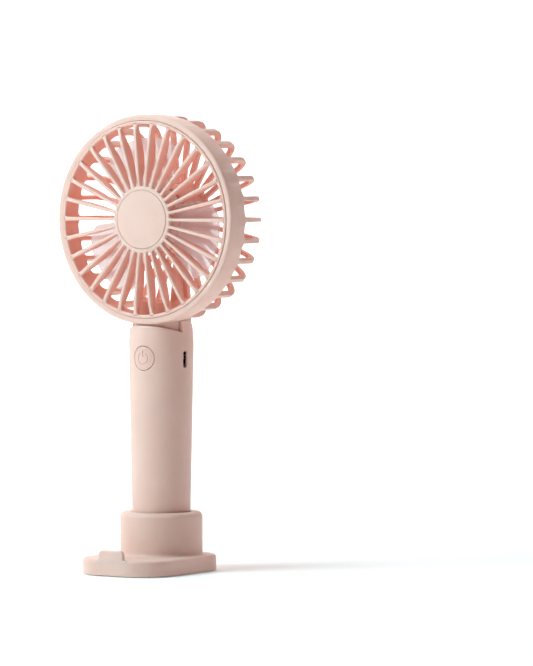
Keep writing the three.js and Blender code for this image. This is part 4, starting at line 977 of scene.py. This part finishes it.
def plate_loop(inset, count=208):
    """Points round the plate's outline, moved in by an inset, evenly spaced from the +X side."""
    side = PLATE_SIDE - inset
    corner = PLATE_CORNER - inset
    front, back = PLATE_FRONT + inset, PLATE_BACK - inset
    centres = [
        (side - corner, back - corner, 0), (corner - side, back - corner, 90),
        (corner - side, front + corner, 180), (side - corner, front + corner, 270),
    ]
    line = []
    for x, y, start in centres:
        for k in range(25):
            a = math.radians(start + 90 * k / 24)
            line.append((x + corner * math.cos(a), y + corner * math.sin(a)))
    line.append(line[0])
    lengths = [0]
    for (ax, ay), (bx, by) in zip(line, line[1:]):
        lengths.append(lengths[-1] + math.hypot(bx - ax, by - ay))
    out = []
    for k in range(count):
        run = lengths[-1] * k / count
        i = max(j for j, at in enumerate(lengths) if at <= run)
        share = (run - lengths[i]) / (lengths[i + 1] - lengths[i])
        out.append((lerp(line[i][0], line[i + 1][0], share), lerp(line[i][1], line[i + 1][1], share)))
    return out


def stand():
    shell = Shell()
    full = plate_loop(0)
    angles = [math.atan2(y, x) for x, y in full]

    def circle(radius, z):
        return shell.row(spun_z(radius, z, a) for a in angles)

    def outline(inset, z):
        return shell.row((x, y, z) for x, y in plate_loop(inset))

    bore_top = handle_radius(COLLAR_TOP) + 0.45
    bore_foot = handle_radius(HANDLE_BOTTOM) + 0.45
    profile = rounded([
        (bore_foot, SOCKET_FLOOR, 0), (bore_top, COLLAR_TOP, 0.5), (COLLAR_RADIUS, COLLAR_TOP, COLLAR_EDGE),
        (COLLAR_RADIUS, PLATE_TOP, COLLAR_FOOT), (COLLAR_RADIUS + COLLAR_FOOT, PLATE_TOP, 0),
    ], steps=9)
    loops = [circle(r, z) for r, z in profile]
    shell.fan(shell.add((0, 0, SOCKET_FLOOR)), loops[0])
    inner = plate_loop(PLATE_EDGE + 0.05)
    foot = COLLAR_RADIUS + COLLAR_FOOT
    for share in (0.15, 0.4, 0.7):
        loops.append(shell.row(
            (lerp(foot * math.cos(a), x, share), lerp(foot * math.sin(a), y, share), PLATE_TOP)
            for a, (x, y) in zip(angles, inner)
        ))
    loops.append(outline(PLATE_EDGE + 0.05, PLATE_TOP))
    for k in range(9):
        a = math.pi / 2 * k / 8
        loops.append(outline(PLATE_EDGE * (1 - math.sin(a)), PLATE_TOP - PLATE_EDGE * (1 - math.cos(a))))
    for z in (5, 3, 1.2, STAND_BOTTOM + 0.3):
        loops.append(outline(0, z))
    loops.append(outline(0.09, STAND_BOTTOM + 0.09))
    loops.append(outline(0.3, STAND_BOTTOM))
    loops.append(outline(1.2, STAND_BOTTOM))
    loops.append(outline(1.2, STAND_BOTTOM + 1.65))
    shell.rows(loops, close=True)

    # The low tab at the front that stops a phone from sliding off.
    half, flare, top, bend = LIP_WIDTH / 2, 1.9, PLATE_TOP + LIP_HEIGHT, 2.8
    front = PLATE_FRONT + 0.03
    corners = [
        (-half - flare, PLATE_TOP - PLATE_EDGE, 0), (-half - flare, PLATE_TOP, 0), (-half, PLATE_TOP, flare),
        (-half, top, bend), (half, top, bend), (half, PLATE_TOP, flare), (half + flare, PLATE_TOP, 0),
        (half + flare, PLATE_TOP - PLATE_EDGE, 0),
    ]
    face = rounded(corners, closed=True, steps=8)
    edge = 0.45

    def layer(inset, y):
        points = []
        for i, (x, z) in enumerate(face):
            run = (Vector(face[(i + 1) % len(face)]) - Vector(face[i - 1])).normalized()
            points.append((x + run.y * inset, y, z - run.x * inset))
        return shell.row(points)

    back = PLATE_FRONT + LIP_THICKNESS
    rings = [layer(edge, back), layer(edge * 0.3, back - edge * 0.3), layer(0, back - edge)]
    rings += [layer(0, front + edge), layer(edge * 0.3, front + edge * 0.3), layer(edge, front)]
    shell.rows(rings, close=True)
    shell.faces.append(tuple(rings[0]))
    shell.faces.append(tuple(rings[-1][::-1]))
    return finish_piece("stand", shell, "stand", ["base_stand"], PINK)


# ---------------------------------------------------------------- pieces kept from the frame


def finish_nodes():
    """Gives every CAD node that stays in view its own finish and softened edges."""
    finishes = {
        PINK: ["base_cover", "motor_retainer"],
        RUBBER: ["anti_slip_pad"],
        NYLON: ["battery_tray", "motor_end_cap"],
        WRAP: ["battery_cell"],
        NICKEL: ["battery_positive_strip", "battery_negative_strip", "usb_c_shell"],
        LAMINATE: ["circuit_board"],
        STEEL: ["motor_can", "motor_shaft", *(f"base_screw_{i}" for i in range(1, 5))]
        + [f"retainer_screw_{i}" for i in range(1, 4)],
        RESIN: ["usb_c_tongue", "tact_switch", "switch_plunger", "charge_controller"],
        FERRITE: ["boost_inductor", "motor_magnet_upper", "motor_magnet_lower"],
        LAMINATION: ["armature_core"],
        COPPER: ["armature_coil_1", "armature_coil_2", "armature_coil_3", "commutator"]
        + ["motor_brush_left", "motor_brush_right"],
        BRASS: ["motor_bush_front", "motor_bush_rear", "motor_terminal_positive", "motor_terminal_negative"],
        RED_WIRE: ["motor_wire_red"],
        BLACK_WIRE: ["motor_wire_black"],
    }
    for material, names in finishes.items():
        for name in names:
            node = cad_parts[name]
            node.data.materials.clear()
            node.data.materials.append(material)
            low, high = box_mm(name)
            thinnest = min(high - low)
            add_bevel(node, min(0.2, thinnest * 0.12), 2, 40)


# ---------------------------------------------------------------- the studio


CAMERA_AZIMUTH = 33.1
CAMERA_ELEVATION = 2.42
CAMERA_DISTANCE = 2.5
CAMERA_SIDE = 0.05157
CAMERA_RISE = 0.11655
CAMERA_LENS = 275
FLOOR_REACH = 30
WALL_START = 3.2
WALL_BEND = 1.6
WALL_HEIGHT = 8


def area_light(name, place, target, size, power, colour):
    light = bpy.data.lights.new(name, "AREA")
    light.energy = power
    light.color = colour
    light.shape = "SQUARE"
    light.size = size
    obj = bpy.data.objects.new(name, light)
    obj.location = place
    obj.rotation_euler = (Vector(target) - Vector(place)).to_track_quat("-Z", "Y").to_euler()
    bpy.context.scene.collection.objects.link(obj)


def pale_floor():
    """Plain and pale, and brighter by itself further from the object."""
    material, tree, shader = new_material("pale_floor")
    place = tree.nodes.new("ShaderNodeTexCoord").outputs["Object"]
    drift = noise_node(tree, place, 3, 2, 0.5)
    pale = mixed(tree, drift, (0.93, 0.93, 0.93), (0.95, 0.95, 0.95))
    tree.links.new(pale, shader.inputs["Base Color"])
    shader.inputs["Roughness"].default_value = 0.9
    shader.inputs["Specular IOR Level"].default_value = 0.1
    shader.inputs["Emission Color"].default_value = (1, 1, 1, 1)
    away = tree.nodes.new("ShaderNodeVectorMath")
    away.operation = "LENGTH"
    tree.links.new(place, away.inputs[0])
    axes = tree.nodes.new("ShaderNodeSeparateXYZ")
    tree.links.new(place, axes.inputs["Vector"])
    glow = tree.nodes.new("ShaderNodeMath")
    glow.operation = "MULTIPLY_ADD"
    tree.links.new(ramp(tree, axes.outputs["Y"], 0, 0.45, 1.4, 3.4), glow.inputs[0])
    tree.links.new(ramp(tree, axes.outputs["Z"], 1, 0.15, 0.6, 4), glow.inputs[1])
    tree.links.new(ramp(tree, away.outputs["Value"], 0.1, 0.5, 0.4, 1.4), glow.inputs[2])
    tree.links.new(glow.outputs["Value"], shader.inputs["Emission Strength"])
    return material


def backdrop():
    """A wide floor that curves up into a wall behind the object, in metres, square to the camera.

    The wall stands further off than any view's camera, so it never comes between.
    """
    profile = [(-FLOOR_REACH, 0), (WALL_START, 0)]
    for k in range(1, 17):
        a = math.pi / 2 * k / 16
        profile.append((WALL_START + WALL_BEND * math.sin(a), WALL_BEND * (1 - math.cos(a))))
    profile.append((WALL_START + WALL_BEND, WALL_HEIGHT))
    points = [(side, y, z) for side in (-FLOOR_REACH, FLOOR_REACH) for y, z in profile]
    count = len(profile)
    mesh = bpy.data.meshes.new("floor")
    mesh.from_pydata(points, [], [(i, i + 1, count + i + 1, count + i) for i in range(count - 1)])
    mesh.polygons.foreach_set("use_smooth", [True] * len(mesh.polygons))
    mesh.materials.append(pale_floor())
    floor = bpy.data.objects.new("floor", mesh)
    floor.rotation_euler = (0, 0, math.radians(CAMERA_AZIMUTH))
    bpy.context.scene.collection.objects.link(floor)


def studio():
    backdrop()
    world = bpy.data.worlds.new("studio")
    world.use_nodes = True
    world.node_tree.nodes["Background"].inputs["Color"].default_value = (1, 0.72, 0.66, 1)
    world.node_tree.nodes["Background"].inputs["Strength"].default_value = 0.07
    bpy.context.scene.world = world
    bpy.context.scene.view_settings.view_transform = "Standard"
    bpy.context.scene.view_settings.look = "None"
    area_light("key", (-0.75, -1.0, 0.85), (0, 0, 0.12), 0.7, 15.5, (0.7, 1, 1.06))
    area_light("top", (-0.25, -0.3, 1.3), (0, 0, 0), 0.6, 7, (0.76, 1, 1.05))
    area_light("sweep", (-0.6, 1.3, 2.6), (0, 1.6, 0), 2.6, 36, (1, 0.84, 0.8))


def camera():
    turn, tilt = math.radians(CAMERA_AZIMUTH), math.radians(CAMERA_ELEVATION)
    back = Vector((math.sin(turn) * math.cos(tilt), -math.cos(turn) * math.cos(tilt), math.sin(tilt)))
    right = Vector((math.cos(turn), math.sin(turn), 0))
    up = back.cross(right)
    data = bpy.data.cameras.new("camera")
    data.lens = CAMERA_LENS
    data.sensor_width = 36
    data.clip_end = 50
    obj = bpy.data.objects.new("camera", data)
    obj.location = back * CAMERA_DISTANCE + right * CAMERA_SIDE + up * CAMERA_RISE
    obj.rotation_euler = (-back).to_track_quat("-Z", "Y").to_euler()
    bpy.context.scene.collection.objects.link(obj)
    bpy.context.scene.camera = obj


housing()
rear_cap()
grille()
badge()
impeller_hub()
impeller_blades()
sleeve()
button()
bottom_cap()
stand()
finish_nodes()
studio()
camera()

bpy.context.view_layer.update()
